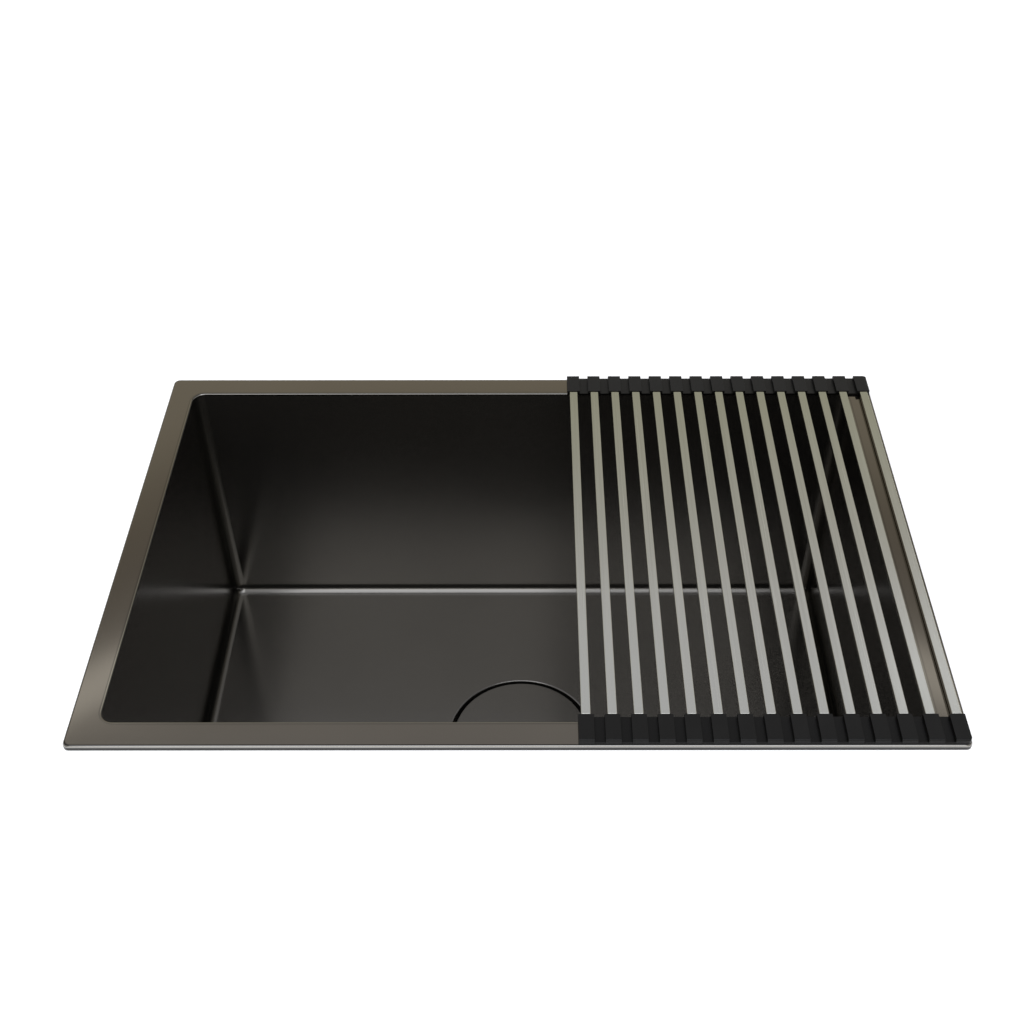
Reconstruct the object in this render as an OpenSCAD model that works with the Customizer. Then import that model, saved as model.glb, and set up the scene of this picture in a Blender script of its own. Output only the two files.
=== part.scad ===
// Drop-in kitchen sink with a flush drain cover and a roll-up drying rack.
// The origin is the centre of the worktop's cut-out, on the worktop's upper face.
// +X is to the right, +Y to the back and +Z up, as seen by someone at the sink.

/* [Rim] */
// Length of the rim, left to right
rim_l = 685.8; // [600:0.1:900]
// Depth of the rim, front to back
rim_d = 457.2; // [400:0.1:560]
// Width of the rim's flat, from its outer edge to the bowl
rim_w = 23.7; // [21:0.1:40]
// Height of the rim's top over the worktop
edge_h = 5; // [4:0.5:10]
// Outer radius of the fold at the rim's edge
edge_bend_r = 2; // [1.6:0.1:3]
// Radius of the rim's four corners, seen from above
rim_corner_r = 5; // [4:0.5:20]
// Thickness of the rim's and the bowl's sheet
sheet_t = 1.5; // [1:0.1:1.5]
// Width of the foam seal under the rim
seal_w = 9; // [5:0.5:12]
// Distance from the foam seal to the turned-down edge
seal_inset = 1; // [0:0.5:3]

/* [Bowl] */
// Depth of the bowl, from the rim's top to the floor
bowl_depth = 274; // [220:1:300]
// Radius of the bowl's upright corners
corner_r = 12; // [11:0.5:30]
// Radius of the bend between the walls and the floor
bend_r = 10; // [5:0.5:10]

/* [Drain recess] */
// Diameter of the recess in the floor
recess_dia = 141; // [136:1:180]
// Depth of the recess
recess_depth = 8; // [8:0.5:12]
// Chamfer round the recess's mouth
recess_edge = 0.8; // [0:0.1:1.2]
// Diameter of the hole for the strainer
drain_hole_dia = 90; // [88:1:95]

/* [Drain cover] */
// Gap round the cover
cover_gap = 3.4; // [1:0.1:6]
// Thickness of the cover
cover_t = 2; // [1:0.1:2.5]
// Chamfer round the cover's upper edge
cover_edge = 0.5; // [0:0.1:0.8]
// Diameter of each foot of the cover
foot_dia = 6; // [4:0.5:7]
// Number of feet under the cover
foot_count = 4; // [3:1:8]
// Distance from the feet to the edge of the cover
foot_inset = 0.6; // [0.5:0.1:1.5]

/* [Strainer body] */
// Diameter of the strainer's flange
flange_dia = 114; // [108:1:118]
// Thickness of the strainer's flange
flange_t = 1.5; // [1:0.1:2]
// Inner diameter of the strainer's cup
cup_bore_dia = 82; // [78:0.5:84]
// Thickness of the strainer's wall
cup_wall = 1; // [0.8:0.1:1.2]
// Depth of the cup below its flange
cup_depth = 50; // [44:1:70]
// Height of the thread's ridges
thread_h = 0.75; // [0.4:0.05:0.8]
// Distance between the thread's ridges
thread_pitch = 2.5; // [2:0.5:4]
// Length of the strainer's threaded stretch
thread_len = 35; // [25:1:38]
// Plain stretch between the bowl and the thread
thread_start = 1; // [0.5:0.1:1.5]
// Inner diameter of the outlet at the cup's bottom
outlet_bore_dia = 35; // [30:0.5:36]
// Outer diameter of the outlet's spigot
spigot_dia = 47; // [46:0.5:50]
// Length of the outlet's spigot
spigot_len = 22; // [18:1:30]
// Thickness of the ring under the flange
flange_seal_t = 1.5; // [1:0.1:2]

/* [Clamping the strainer] */
// Running space between a thread's ridges and its nut
thread_clear = 0.1; // [0.05:0.05:0.4]
// Outer diameter of the rings below the sink
ring_dia = 114; // [104:1:118]
// Thickness of the rubber washer below the sink
washer_t = 3; // [2:0.5:5]
// Thickness of the friction ring
friction_t = 1; // [0.5:0.1:1.5]
// Height of the lock nut
nut_h = 12; // [8:1:16]
// Outer diameter of the lock nut
nut_dia = 104; // [100:1:110]
// Reach of each lug of the lock nut
lug_reach = 6; // [4:0.5:8]
// Width of each lug of the lock nut
lug_w = 14; // [8:1:18]
// Number of lugs on the lock nut
lug_count = 8; // [4:1:10]

/* [Basket] */
// Outer diameter of the basket's cup
basket_dia = 72; // [66:0.5:74]
// Height of the basket's cup
basket_h = 32; // [28:1:34]
// Thickness of the basket's sheet
basket_t = 0.8; // [0.5:0.1:1]
// Reach of the basket's lip over its wall
lip_reach = 4.2; // [2:0.1:4.4]
// Number of slots in the basket's wall
slot_count = 24; // [8:1:30]
// Width of each slot
slot_w = 3; // [2:0.1:4]
// Solid band over and under the slots
slot_band = 6; // [4:0.5:8]
// Diameter of the holes in the basket's bottom
hole_dia = 3.2; // [2:0.1:4]
// Diameter of the stopper
stopper_dia = 43; // [40:0.5:46]
// Thickness of the stopper
stopper_t = 4; // [3:0.5:6]
// Diameter of the basket's pull post
post_dia = 6; // [4:0.5:8]
// Diameter of the knob on the post
knob_dia = 16; // [12:0.5:24]
// Height of the knob
knob_h = 5; // [4:0.5:8]
// Drop of the knob's top below the cover
knob_drop = 8; // [6:0.5:10]
// Reach of the post's head under the stopper
head_reach = 3; // [2:0.5:4]
// Reach of the post's collar over the basket's bottom
collar_reach = 2; // [1:0.5:3]
// Height of the post's head, and of its collar
collar_h = 2; // [1:0.5:3]

/* [Tailpiece] */
// Outer diameter of the tailpiece
tail_dia = 38.1; // [38:0.1:40]
// Wall of the tailpiece
tail_wall = 1.3; // [1:0.1:2]
// Length of the tailpiece
tail_len = 101.6; // [80:0.1:160]
// Swell of the tailpiece where the coupling nut's lip goes round it
tail_swell = 0.3; // [0.2:0.1:0.6]
// Thickness of the tailpiece's flange
tail_flange_t = 2; // [1.5:0.1:3]
// Thickness of the washer on the tailpiece
tail_washer_t = 2.5; // [2:0.1:4]
// Height of the coupling nut
coupling_h = 26; // [22:1:32]
// Width of the coupling nut across its ribs
coupling_dia = 60; // [56:1:66]
// Number of grip ribs on the coupling nut
coupling_ribs = 12; // [6:1:18]
// Reach of the grip ribs over the nut's body
rib_reach = 2; // [1:0.5:3]
// Width of a grip rib
rib_w = 4; // [2:0.5:6]
// Thickness of the coupling nut's lip
coupling_lip_t = 4; // [3:0.5:6]

/* [Sound pads] */
// Thickness of the sound pads
pad_t = 3; // [2:0.5:5]
// Distance from the wall pads to the ends of the walls
pad_margin = 45; // [20:1:80]
// Height of the wall pads
pad_h = 180; // [120:1:190]
// Distance from the wall pads' lower edge to the floor
pad_low = 25; // [12:1:30]
// Distance from the floor pads to the drain recess
pad_drain_gap = 15; // [8:1:30]

/* [Clips] */
// Thickness of the worktop that the clips hold
worktop_t = 30; // [20:1:40]
// Space between the cut-out's edge and the bowl
cutout_gap = 9.3; // [9:0.1:14]
// Distance from the rim's underside to the clip rails
rail_drop = 3.5; // [2:0.5:8]
// Depth of the clip rails, away from the bowl
rail_depth = 7; // [6:0.5:8]
// Height of the clip rails
rail_h = 16; // [14:0.5:20]
// Thickness of the rails' and the clips' sheet
rail_t = 1.2; // [1:0.1:1.4]
// Height of the rails' lips
lip_h = 3; // [2:0.5:4]
// Distance from a rail's ends to the ends of its wall
rail_margin = 60; // [40:1:90]
// Width of each clip
clip_w = 14; // [10:1:20]
// Number of clips along the front, and along the back
clips_long = 3; // [2:1:6]
// Number of clips along each side
clips_short = 2; // [1:1:4]
// Play of the clips in their rails and in the cut-out
clip_play = 1; // [0.5:0.1:1.5]
// Distance from the worktop's underside to the clips' arms
arm_drop = 14; // [10:1:30]
// Reach of the clips' arms under the worktop
arm_reach = 12; // [11:0.5:20]
// Distance from the face of a clip's strap to its screw
screw_out = 6; // [5.5:0.1:7]
// Diameter of the clip screws
screw_dia = 5; // [4:0.5:6]
// Diameter of the pads on the screws' tips
tip_dia = 9; // [7:0.5:11]
// Thickness of the pads on the screws' tips
tip_t = 2; // [1:0.5:4]
// Diameter of the screws' collars, under the arms
screw_collar_dia = 8; // [7:0.5:10]
// Height of the screws' collars
screw_collar_h = 4; // [2:0.5:6]
// Width of a clip screw's wings
wing_w = 12; // [8:1:14]
// Height of a clip screw's wings
wing_h = 8; // [5:1:12]
// Thickness of a clip screw's wings
wing_t = 2; // [1:0.5:3]

/* [Rack] */
// Distance between two neighbouring bars
bar_pitch = 20.2; // [18:0.1:24]
// Width of a bar
bar_w = 7.2; // [6:0.1:9]
// Height of a bar
bar_h = 4; // [3.2:0.1:4.2]
// Radius of a bar's long edges
bar_edge_r = 1.2; // [0.8:0.1:1.4]
// Width of an end cap
cap_w = 12; // [11:0.1:14]
// Height of an end cap
cap_h = 5; // [5:0.1:8]
// Length of an end cap, along its bar
cap_len = 25.4; // [20:0.1:40]
// Solid end of a cap, past its bar
cap_end = 2; // [1.5:0.1:4]
// Radius of the caps' outer upper edge
cap_edge_r = 1.8; // [1:0.1:2.5]
// Thickness of the webs between the caps
web_h = 1.75; // [1:0.05:2.5]
// Running space between the end caps and the rim
rack_lift = 0.3; // [0.1:0.1:0.5]
// Thickness of an end cap under its bar
bar_lift = 0.5; // [0.4:0.1:0.8]
// Space between a bar and its cap's socket
socket_clear = 0.05; // [0:0.01:0.1]
// Distance from the caps' ends to the rim's front and back edge
rack_inset = 1.3; // [0:0.1:4]
// Distance from the last cap to the rim's right edge
rack_side_inset = 2.1; // [0:0.1:10]

/* [Hidden] */
BAR_COUNT = 15;
function two_digits(i) = str(i < 10 ? "0" : "", i);
function bar_name(i) = str("rack_bar_", two_digits(i));
function caps_name(i) = str("end_caps_", two_digits(i));
$fn = 64;
// How far a cutter runs past what it cuts
PAST = 1;

// The bowl
bowl_l = rim_l - 2 * rim_w;
bowl_d = rim_d - 2 * rim_w;
under_rim_z = edge_h - sheet_t;
floor_z = edge_h - bowl_depth;
recess_z = floor_z - recess_depth;
dish_under_z = recess_z - sheet_t;
wall_x = bowl_l / 2 + sheet_t;
wall_y = bowl_d / 2 + sheet_t;

// The strainer
flange_under_z = recess_z + flange_seal_t;
cup_r = cup_bore_dia / 2;
core_r = cup_r + cup_wall;
crest_r = core_r + thread_h;
cup_floor_z = flange_under_z - cup_depth + sheet_t;
cup_under_z = flange_under_z - cup_depth;
spigot_end_z = cup_under_z - spigot_len;
washer_z = dish_under_z - washer_t;
friction_z = washer_z - friction_t;
nut_bore_r = crest_r + thread_clear;

// The basket
stopper_top_z = cup_floor_z + stopper_t;
basket_top_z = stopper_top_z + basket_h;
knob_top_z = floor_z - cover_t - knob_drop;
post_r = post_dia / 2;
hole_ring_r = (stopper_dia + basket_dia) / 4;

// The tailpiece
tail_r = tail_dia / 2;
tail_flange_z = spigot_end_z - tail_washer_t;
tail_flange_r = spigot_dia / 2;
tail_end_z = tail_flange_z - tail_len;
coupling_bore_r = spigot_dia / 2 + thread_clear + thread_h;
coupling_lip_z = tail_flange_z - tail_flange_t;
coupling_low_z = coupling_lip_z - coupling_lip_t;
swell_r = tail_r + tail_swell;
swell_end_z = coupling_low_z - PAST;

// The clips
rail_top_z = under_rim_z - rail_drop;
arm_z = -worktop_t - arm_drop;
arm_out = cutout_gap - clip_play;
screw_s = arm_out + screw_out;
rail_mid_z = rail_top_z - rail_h / 2;
head_h = rail_h - 2 * rail_t - clip_play;

// The rack
rack_len = rim_d - 2 * rack_inset;
bar_len = rack_len - 2 * cap_end;
last_bar_x = rim_l / 2 - rack_side_inset - cap_w / 2;
web_reach = bar_pitch / 2;
rack_z = edge_h + rack_lift;
bar_mid_z = rack_z + bar_lift + bar_h / 2;

// The place of a bar along the rim, bar 1 being the leftmost
function bar_x(i) = last_bar_x - (BAR_COUNT - i) * bar_pitch;

// The place of copy i of n, spread over a run with half a step at its ends
function spread(i, n, run) = run * ((i + 0.5) / n - 0.5);

// A rectangle with round corners
module rounded_rect(l, d, r) {
    square([l - 2 * r, d], center = true);
    square([l, d - 2 * r], center = true);
    for (sx = [-1, 1], sy = [-1, 1])
        translate([sx * (l / 2 - r), sy * (d / 2 - r)]) circle(r = r);
}

// Runs a profile round a rectangle with round corners. The profile's x is the distance
// outwards from the corners' axes, and its y is the height.
module round_loop(l, d, r) {
    for (k = [0:3]) {
        run = (k % 2 == 0 ? l : d) - 2 * r;
        off = (k % 2 == 0 ? d : l) / 2 - r;
        rotate([0, 0, 90 * k]) {
            translate([-run / 2, off, 0])
                rotate([90, 0, 90]) linear_extrude(run) children();
            translate([run / 2, off, 0]) rotate_extrude(angle = 90) children();
        }
    }
}

// A quarter of a flat ring, in the corner where x and y point by sx and sy
module quarter_ring(outer_r, inner_r, sx, sy) {
    intersection() {
        difference() {
            circle(r = outer_r);
            if (inner_r > 0) circle(r = inner_r);
        }
        translate([sx > 0 ? 0 : -outer_r, sy > 0 ? 0 : -outer_r]) square(outer_r);
    }
}

// A flat ring lying on the height z
module washer(outer_r, inner_r, z, t) {
    translate([0, 0, z]) difference() {
        cylinder(r = outer_r, h = t);
        translate([0, 0, -PAST]) cylinder(r = inner_r, h = t + 2 * PAST);
    }
}

// Wall and bend of the bowl, as a profile for round_loop
module wall_profile() {
    translate([corner_r, floor_z + bend_r])
        square([sheet_t, under_rim_z - floor_z - bend_r]);
    translate([corner_r - bend_r, floor_z + bend_r])
        quarter_ring(bend_r + sheet_t, bend_r, 1, -1);
    translate([0, floor_z - sheet_t]) square([corner_r - bend_r, sheet_t]);
}

module bowl() {
    color("#1e1d1b") difference() {
        union() {
            round_loop(bowl_l, bowl_d, corner_r) wall_profile();
            translate([0, 0, floor_z - sheet_t / 2])
                cube([bowl_l - 2 * corner_r, bowl_d - 2 * corner_r, sheet_t], center = true);
            translate([0, 0, dish_under_z])
                cylinder(r = recess_dia / 2 + sheet_t, h = recess_depth + sheet_t / 2);
        }
        translate([0, 0, recess_z]) cylinder(d = recess_dia, h = recess_depth + PAST);
        translate([0, 0, dish_under_z - PAST])
            cylinder(d = drain_hole_dia, h = sheet_t + 2 * PAST);
        if (recess_edge > 0)
            translate([0, 0, floor_z - recess_edge])
                cylinder(r1 = recess_dia / 2, r2 = recess_dia / 2 + 2 * recess_edge,
                         h = 2 * recess_edge);
    }
}

// Fold and turned-down edge of the rim, as a profile for round_loop
module edge_profile() {
    translate([0, under_rim_z]) square([rim_corner_r - edge_bend_r, sheet_t]);
    translate([rim_corner_r - edge_bend_r, edge_h - edge_bend_r])
        quarter_ring(edge_bend_r, edge_bend_r - sheet_t, 1, 1);
    translate([rim_corner_r - sheet_t, 0]) square([sheet_t, edge_h - edge_bend_r]);
}

module rim_frame() {
    color("#5f5950") union() {
        round_loop(rim_l, rim_d, rim_corner_r) edge_profile();
        translate([0, 0, under_rim_z]) linear_extrude(sheet_t) difference() {
            square([rim_l - 2 * rim_corner_r, rim_d - 2 * rim_corner_r], center = true);
            rounded_rect(bowl_l, bowl_d, corner_r);
        }
    }
}

module rim_seal() {
    inset = sheet_t + seal_inset;
    outer_r = max(rim_corner_r - inset, 1);
    color("#26262a") linear_extrude(under_rim_z) difference() {
        rounded_rect(rim_l - 2 * inset, rim_d - 2 * inset, outer_r);
        square([rim_l - 2 * (inset + seal_w), rim_d - 2 * (inset + seal_w)], center = true);
    }
}

// Puts a piece at every clip: +Y points away from the bowl, and y = 0 is the wall
module at_clips() {
    for (side = [0, 180]) rotate([0, 0, side])
        for (i = [0:clips_long - 1])
            translate([spread(i, clips_long, bowl_l - 2 * rail_margin), wall_y, 0]) children();
    for (side = [90, 270]) rotate([0, 0, side])
        for (i = [0:clips_short - 1])
            translate([spread(i, clips_short, bowl_d - 2 * rail_margin), wall_x, 0]) children();
}

// One rail: a channel that is open away from the wall, with a lip along each of its arms
module rail(length) {
    translate([-length / 2, 0, rail_top_z - rail_h])
        rotate([90, 0, 90]) linear_extrude(length) {
            square([rail_t, rail_h]);
            for (y = [0, rail_h - rail_t]) translate([0, y]) square([rail_depth, rail_t]);
            for (y = [0, rail_h - lip_h])
                translate([rail_depth - rail_t, y]) square([rail_t, lip_h]);
        }
}

module clip_rails() {
    color("#8f9092") for (side = [0:3])
        rotate([0, 0, 90 * side])
            translate([0, side % 2 == 0 ? wall_y : wall_x, 0])
                rail((side % 2 == 0 ? bowl_l : bowl_d) - 2 * rail_margin);
}

// One clip: a head held behind the rail's lips, a neck, a strap down past the worktop's
// edge, and an arm out under the worktop
module clip_arm() {
    neck_h = rail_h - 2 * lip_h - clip_play;
    head_y = rail_depth - 2 * rail_t;
    difference() {
        union() {
            translate([-clip_w / 2, head_y, rail_mid_z - head_h / 2])
                cube([clip_w, rail_t, head_h]);
            translate([-clip_w / 2, head_y, rail_mid_z - neck_h / 2])
                cube([clip_w, arm_out - head_y, neck_h]);
            translate([-clip_w / 2, arm_out - rail_t, arm_z])
                cube([clip_w, rail_t, rail_mid_z + neck_h / 2 - arm_z]);
            translate([-clip_w / 2, arm_out - rail_t, arm_z])
                cube([clip_w, arm_reach + rail_t, 2 * rail_t]);
        }
        translate([0, screw_s, arm_z - PAST])
            cylinder(r = screw_dia / 2 + thread_clear, h = 2 * rail_t + 2 * PAST);
    }
}

module clip_arms() {
    color("#a2a3a5") at_clips() clip_arm();
}

// One screw: its shank goes up through the arm to the worktop, and its wings hang below
module clip_screw() {
    collar_z = arm_z - screw_collar_h;
    tip_z = -worktop_t - tip_t;
    translate([0, screw_s, 0]) {
        translate([0, 0, collar_z]) cylinder(d = screw_dia, h = tip_z - collar_z);
        translate([0, 0, tip_z]) cylinder(d = tip_dia, h = tip_t);
        translate([0, 0, collar_z]) cylinder(d = screw_collar_dia, h = screw_collar_h);
        translate([-wing_w / 2, -wing_t / 2, collar_z - wing_h]) cube([wing_w, wing_t, wing_h]);
    }
}

module clip_screws() {
    color("#b4b4b0") at_clips() clip_screw();
}

// One pad on a wall: side 0 is the back, and each next side is a quarter turn on
module wall_pad(side) {
    length = (side % 2 == 0 ? bowl_l : bowl_d) - 2 * pad_margin;
    off = side % 2 == 0 ? wall_y : wall_x;
    color("#2f3033") rotate([0, 0, 90 * side])
        translate([-length / 2, off, floor_z + pad_low]) cube([length, pad_t, pad_h]);
}

module pad_back() wall_pad(0);
module pad_left() wall_pad(1);
module pad_front() wall_pad(2);
module pad_right() wall_pad(3);

// One pad under the floor, to the left (-1) or the right (1) of the drain
module floor_pad(side) {
    inner = recess_dia / 2 + sheet_t + pad_drain_gap;
    length = bowl_l / 2 - corner_r - pad_drain_gap - inner;
    width = bowl_d - 2 * pad_margin;
    color("#2f3033")
        translate([side * (inner + length / 2), 0, floor_z - sheet_t - pad_t / 2])
            cube([length, width, pad_t], center = true);
}

module pad_floor_left() floor_pad(-1);
module pad_floor_right() floor_pad(1);

module flange_seal() {
    color("#2a2a2a") washer(flange_dia / 2, drain_hole_dia / 2, recess_z, flange_seal_t);
}

// Flange, cup with its thread's ridges, and the outlet's spigot
module strainer_body() {
    ridge_count = floor(thread_len / thread_pitch);
    thread_top_z = dish_under_z - thread_start;
    color("#8d8c88") difference() {
        union() {
            translate([0, 0, flange_under_z]) cylinder(d = flange_dia, h = flange_t);
            translate([0, 0, cup_under_z]) cylinder(r = core_r, h = cup_depth);
            for (i = [0:ridge_count - 1])
                translate([0, 0, thread_top_z - (i + 0.5) * thread_pitch])
                    cylinder(r = crest_r, h = thread_pitch / 2);
            translate([0, 0, spigot_end_z]) cylinder(d = spigot_dia, h = spigot_len);
        }
        translate([0, 0, cup_floor_z]) cylinder(r = cup_r, h = cup_depth + flange_t + PAST);
        translate([0, 0, spigot_end_z - PAST])
            cylinder(d = outlet_bore_dia, h = spigot_len + cup_depth);
    }
}

module drain_washer() {
    color("#222222") washer(ring_dia / 2, nut_bore_r, washer_z, washer_t);
}

module friction_ring() {
    color("#c9c2b0") washer(ring_dia / 2, nut_bore_r, friction_z, friction_t);
}

module lock_nut() {
    root = 3;
    color("#9a9a98") difference() {
        union() {
            translate([0, 0, friction_z - nut_h]) cylinder(d = nut_dia, h = nut_h);
            for (i = [0:lug_count - 1]) rotate([0, 0, 360 * i / lug_count])
                translate([nut_dia / 2 - root, -lug_w / 2, friction_z - nut_h])
                    cube([root + lug_reach, lug_w, nut_h]);
        }
        translate([0, 0, friction_z - nut_h - PAST])
            cylinder(r = nut_bore_r, h = nut_h + 2 * PAST);
    }
}

// Slotted cup with a lip round its mouth
module basket_cup() {
    outer_r = basket_dia / 2;
    slot_len = basket_h - 2 * slot_band;
    color("#a9a8a3") difference() {
        union() {
            translate([0, 0, stopper_top_z]) cylinder(r = outer_r, h = basket_h);
            translate([0, 0, basket_top_z - basket_t])
                cylinder(r = outer_r + lip_reach, h = basket_t);
        }
        translate([0, 0, stopper_top_z + basket_t])
            cylinder(r = outer_r - basket_t, h = basket_h);
        for (i = [0:slot_count - 1]) rotate([0, 0, 360 * i / slot_count]) {
            translate([outer_r - 2 * basket_t, -slot_w / 2, stopper_top_z + slot_band])
                cube([3 * basket_t, slot_w, slot_len]);
            translate([hole_ring_r, 0, stopper_top_z - PAST])
                cylinder(d = hole_dia, h = basket_t + 2 * PAST);
        }
        translate([0, 0, stopper_top_z - PAST])
            cylinder(r = post_r + thread_clear, h = basket_t + 2 * PAST);
    }
}

module basket_stopper() {
    color("#202020") washer(stopper_dia / 2, post_r + thread_clear, cup_floor_z, stopper_t);
}

// Head under the stopper, rod, collar on the basket's bottom, and knob
module basket_post() {
    head_z = cup_floor_z - collar_h;
    collar_z = stopper_top_z + basket_t;
    color("#b5b4af") union() {
        translate([0, 0, head_z]) cylinder(r = post_r + head_reach, h = collar_h);
        translate([0, 0, head_z]) cylinder(r = post_r, h = knob_top_z - head_z);
        translate([0, 0, collar_z]) cylinder(r = post_r + collar_reach, h = collar_h);
        translate([0, 0, knob_top_z - knob_h]) cylinder(d = knob_dia, h = knob_h);
    }
}

module drain_cover() {
    cover_r = recess_dia / 2 - cover_gap;
    color("#3f3d3b") translate([0, 0, floor_z - cover_t]) union() {
        cylinder(r = cover_r, h = cover_t - cover_edge);
        if (cover_edge > 0)
            translate([0, 0, cover_t - cover_edge])
                cylinder(r1 = cover_r, r2 = cover_r - cover_edge, h = cover_edge);
    }
}

// The feet stand in the recess, outside the strainer's flange
module cover_feet() {
    ring_r = recess_dia / 2 - cover_gap - foot_inset - foot_dia / 2;
    color("#202020") for (i = [0:foot_count - 1])
        rotate([0, 0, 360 * (i + 0.5) / foot_count])
            translate([ring_r, 0, recess_z]) cylinder(d = foot_dia, h = recess_depth - cover_t);
}

module tail_washer() {
    color("#d8d4c8") washer(tail_flange_r, outlet_bore_dia / 2, tail_flange_z, tail_washer_t);
}

module tailpiece() {
    color("#b9b8b4") difference() {
        union() {
            translate([0, 0, tail_end_z]) cylinder(r = tail_r, h = tail_len);
            translate([0, 0, swell_end_z])
                cylinder(r = swell_r, h = tail_flange_z - swell_end_z);
            translate([0, 0, coupling_lip_z]) cylinder(r = tail_flange_r, h = tail_flange_t);
        }
        translate([0, 0, tail_end_z - PAST]) cylinder(r = tail_r - tail_wall, h = tail_len + 2 * PAST);
    }
}

// Nut with grip ribs; its lip carries the tailpiece's flange
module coupling_nut() {
    root = 3;
    body_r = coupling_dia / 2 - rib_reach;
    color("#a4a39f") difference() {
        union() {
            translate([0, 0, coupling_low_z]) cylinder(r = body_r, h = coupling_h);
            for (i = [0:coupling_ribs - 1]) rotate([0, 0, 360 * i / coupling_ribs])
                translate([body_r - root, -rib_w / 2, coupling_low_z])
                    cube([root + rib_reach, rib_w, coupling_h]);
        }
        translate([0, 0, coupling_lip_z]) cylinder(r = coupling_bore_r, h = coupling_h);
        translate([0, 0, coupling_low_z - PAST])
            cylinder(r = swell_r + thread_clear, h = coupling_lip_t + 2 * PAST);
    }
}

// One bar: a flat rod with round edges, along Y
module rack_bar(i) {
    color("#a3a39a") translate([bar_x(i), bar_len / 2, bar_mid_z])
        rotate([90, 0, 0]) linear_extrude(bar_len) rounded_rect(bar_w, bar_h, bar_edge_r);
}

// A block or web seen from its side, rounded at its outer upper edge
module end_profile(height, edge_r) {
    square([cap_len - edge_r, height]);
    square([cap_len, height - edge_r]);
    translate([cap_len - edge_r, height - edge_r]) circle(r = edge_r);
}

// One end cap along +Y, with its half of the web on each side that has a neighbour
module end_cap(web_left, web_right) {
    socket_w = bar_w + 2 * socket_clear;
    socket_h = bar_h + 2 * socket_clear;
    left = web_left ? web_reach : cap_w / 2;
    right = web_right ? web_reach : cap_w / 2;
    translate([0, rack_len / 2 - cap_len, rack_z]) difference() {
        union() {
            translate([-cap_w / 2, 0, 0])
                rotate([90, 0, 90]) linear_extrude(cap_w) end_profile(cap_h, cap_edge_r);
            translate([-left, 0, 0])
                rotate([90, 0, 90]) linear_extrude(left + right) end_profile(web_h, web_h / 2);
        }
        translate([0, cap_len - cap_end, bar_mid_z - rack_z])
            rotate([90, 0, 0]) linear_extrude(cap_len)
                rounded_rect(socket_w, socket_h, bar_edge_r + socket_clear);
    }
}

// The two caps of bar i
module end_caps(i) {
    color("#262624") translate([bar_x(i), 0, 0]) {
        end_cap(i > 1, i < BAR_COUNT);
        mirror([0, 1, 0]) end_cap(i > 1, i < BAR_COUNT);
    }
}

bowl();
rim_frame();
rim_seal();
clip_rails();
clip_arms();
clip_screws();
pad_front();
pad_back();
pad_left();
pad_right();
pad_floor_left();
pad_floor_right();
strainer_body();
flange_seal();
drain_washer();
friction_ring();
lock_nut();
basket_cup();
basket_stopper();
basket_post();
drain_cover();
cover_feet();
tail_washer();
tailpiece();
coupling_nut();
for (i = [1:BAR_COUNT]) {
    rack_bar(i);
    end_caps(i);
}
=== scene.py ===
# %% [markdown]
# # A kitchen sink with a roll-up drying rack
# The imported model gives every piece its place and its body. This lesson models each piece again
# with its real edges and folds, gives it a finish, and lights it as in a plain, pale studio.
# Lengths are in millimetres where they are named, and become metres as they reach Blender.

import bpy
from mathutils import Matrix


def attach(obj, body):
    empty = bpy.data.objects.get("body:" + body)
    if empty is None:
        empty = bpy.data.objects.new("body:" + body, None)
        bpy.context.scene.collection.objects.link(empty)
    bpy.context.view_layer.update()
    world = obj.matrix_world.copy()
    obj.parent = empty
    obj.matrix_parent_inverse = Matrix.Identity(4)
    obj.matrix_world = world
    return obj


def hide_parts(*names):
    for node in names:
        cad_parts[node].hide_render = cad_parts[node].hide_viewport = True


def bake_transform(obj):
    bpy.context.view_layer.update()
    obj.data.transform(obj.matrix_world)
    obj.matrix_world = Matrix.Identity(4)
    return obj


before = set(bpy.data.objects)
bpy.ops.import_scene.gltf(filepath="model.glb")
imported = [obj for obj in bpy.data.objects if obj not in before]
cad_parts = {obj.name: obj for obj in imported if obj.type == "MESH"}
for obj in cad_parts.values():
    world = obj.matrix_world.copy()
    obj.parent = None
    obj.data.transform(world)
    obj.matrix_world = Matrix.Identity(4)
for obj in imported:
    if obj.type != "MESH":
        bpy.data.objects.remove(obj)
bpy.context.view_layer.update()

# %% [markdown]
# ## Sizes
# A sink is bought by its size, so the sizes come first. The numbers are those of the CAD model,
# measured from the middle of the worktop's cut-out: x to the right, y to the back, z up.

# %% The sizes of the sink
import math
from contextlib import contextmanager

import bmesh
import bpy
from mathutils import Matrix, Vector

MM = 0.001
RIM_LONG, RIM_DEEP, RIM_TOP, RIM_WIDE = 685.8, 457.2, 5.0, 23.7
BOWL_LONG, BOWL_DEEP, FLOOR = RIM_LONG - 2 * RIM_WIDE, RIM_DEEP - 2 * RIM_WIDE, -269.0
SHEET = 1.5
WALL_X, WALL_Y = BOWL_LONG / 2 + SHEET, BOWL_DEEP / 2 + SHEET
RECESS_R, RECESS_FLOOR, DISH_UNDER = 70.5, -277.0, -278.5
WORKTOP, CUTOUT_LONG, CUTOUT_DEEP = 30.0, 660.0, 431.4


def mm(*lengths):
    """Metres: one length gives a number, three give a place."""
    return lengths[0] * MM if len(lengths) == 1 else Vector(lengths) * MM


print("bowl:", BOWL_LONG, "x", BOWL_DEEP, "mm")

# %% [markdown]
# ## The camera
# The photographer stood in front of the sink and looked down at 44 degrees. The rim's four
# edges in the photo give the camera's place, tilt and lens. It was held a trace askew, and the
# small shifts are what was cropped off the picture's sides.

# %% Place the camera
CAMERA_AT = mm(9.9, -861.2, 816.8)
LOOKING_DOWN, ASKEW = 44.03, -0.047
LENS = 47.76
CROPPED = (-0.0181, 0.0412)

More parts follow.
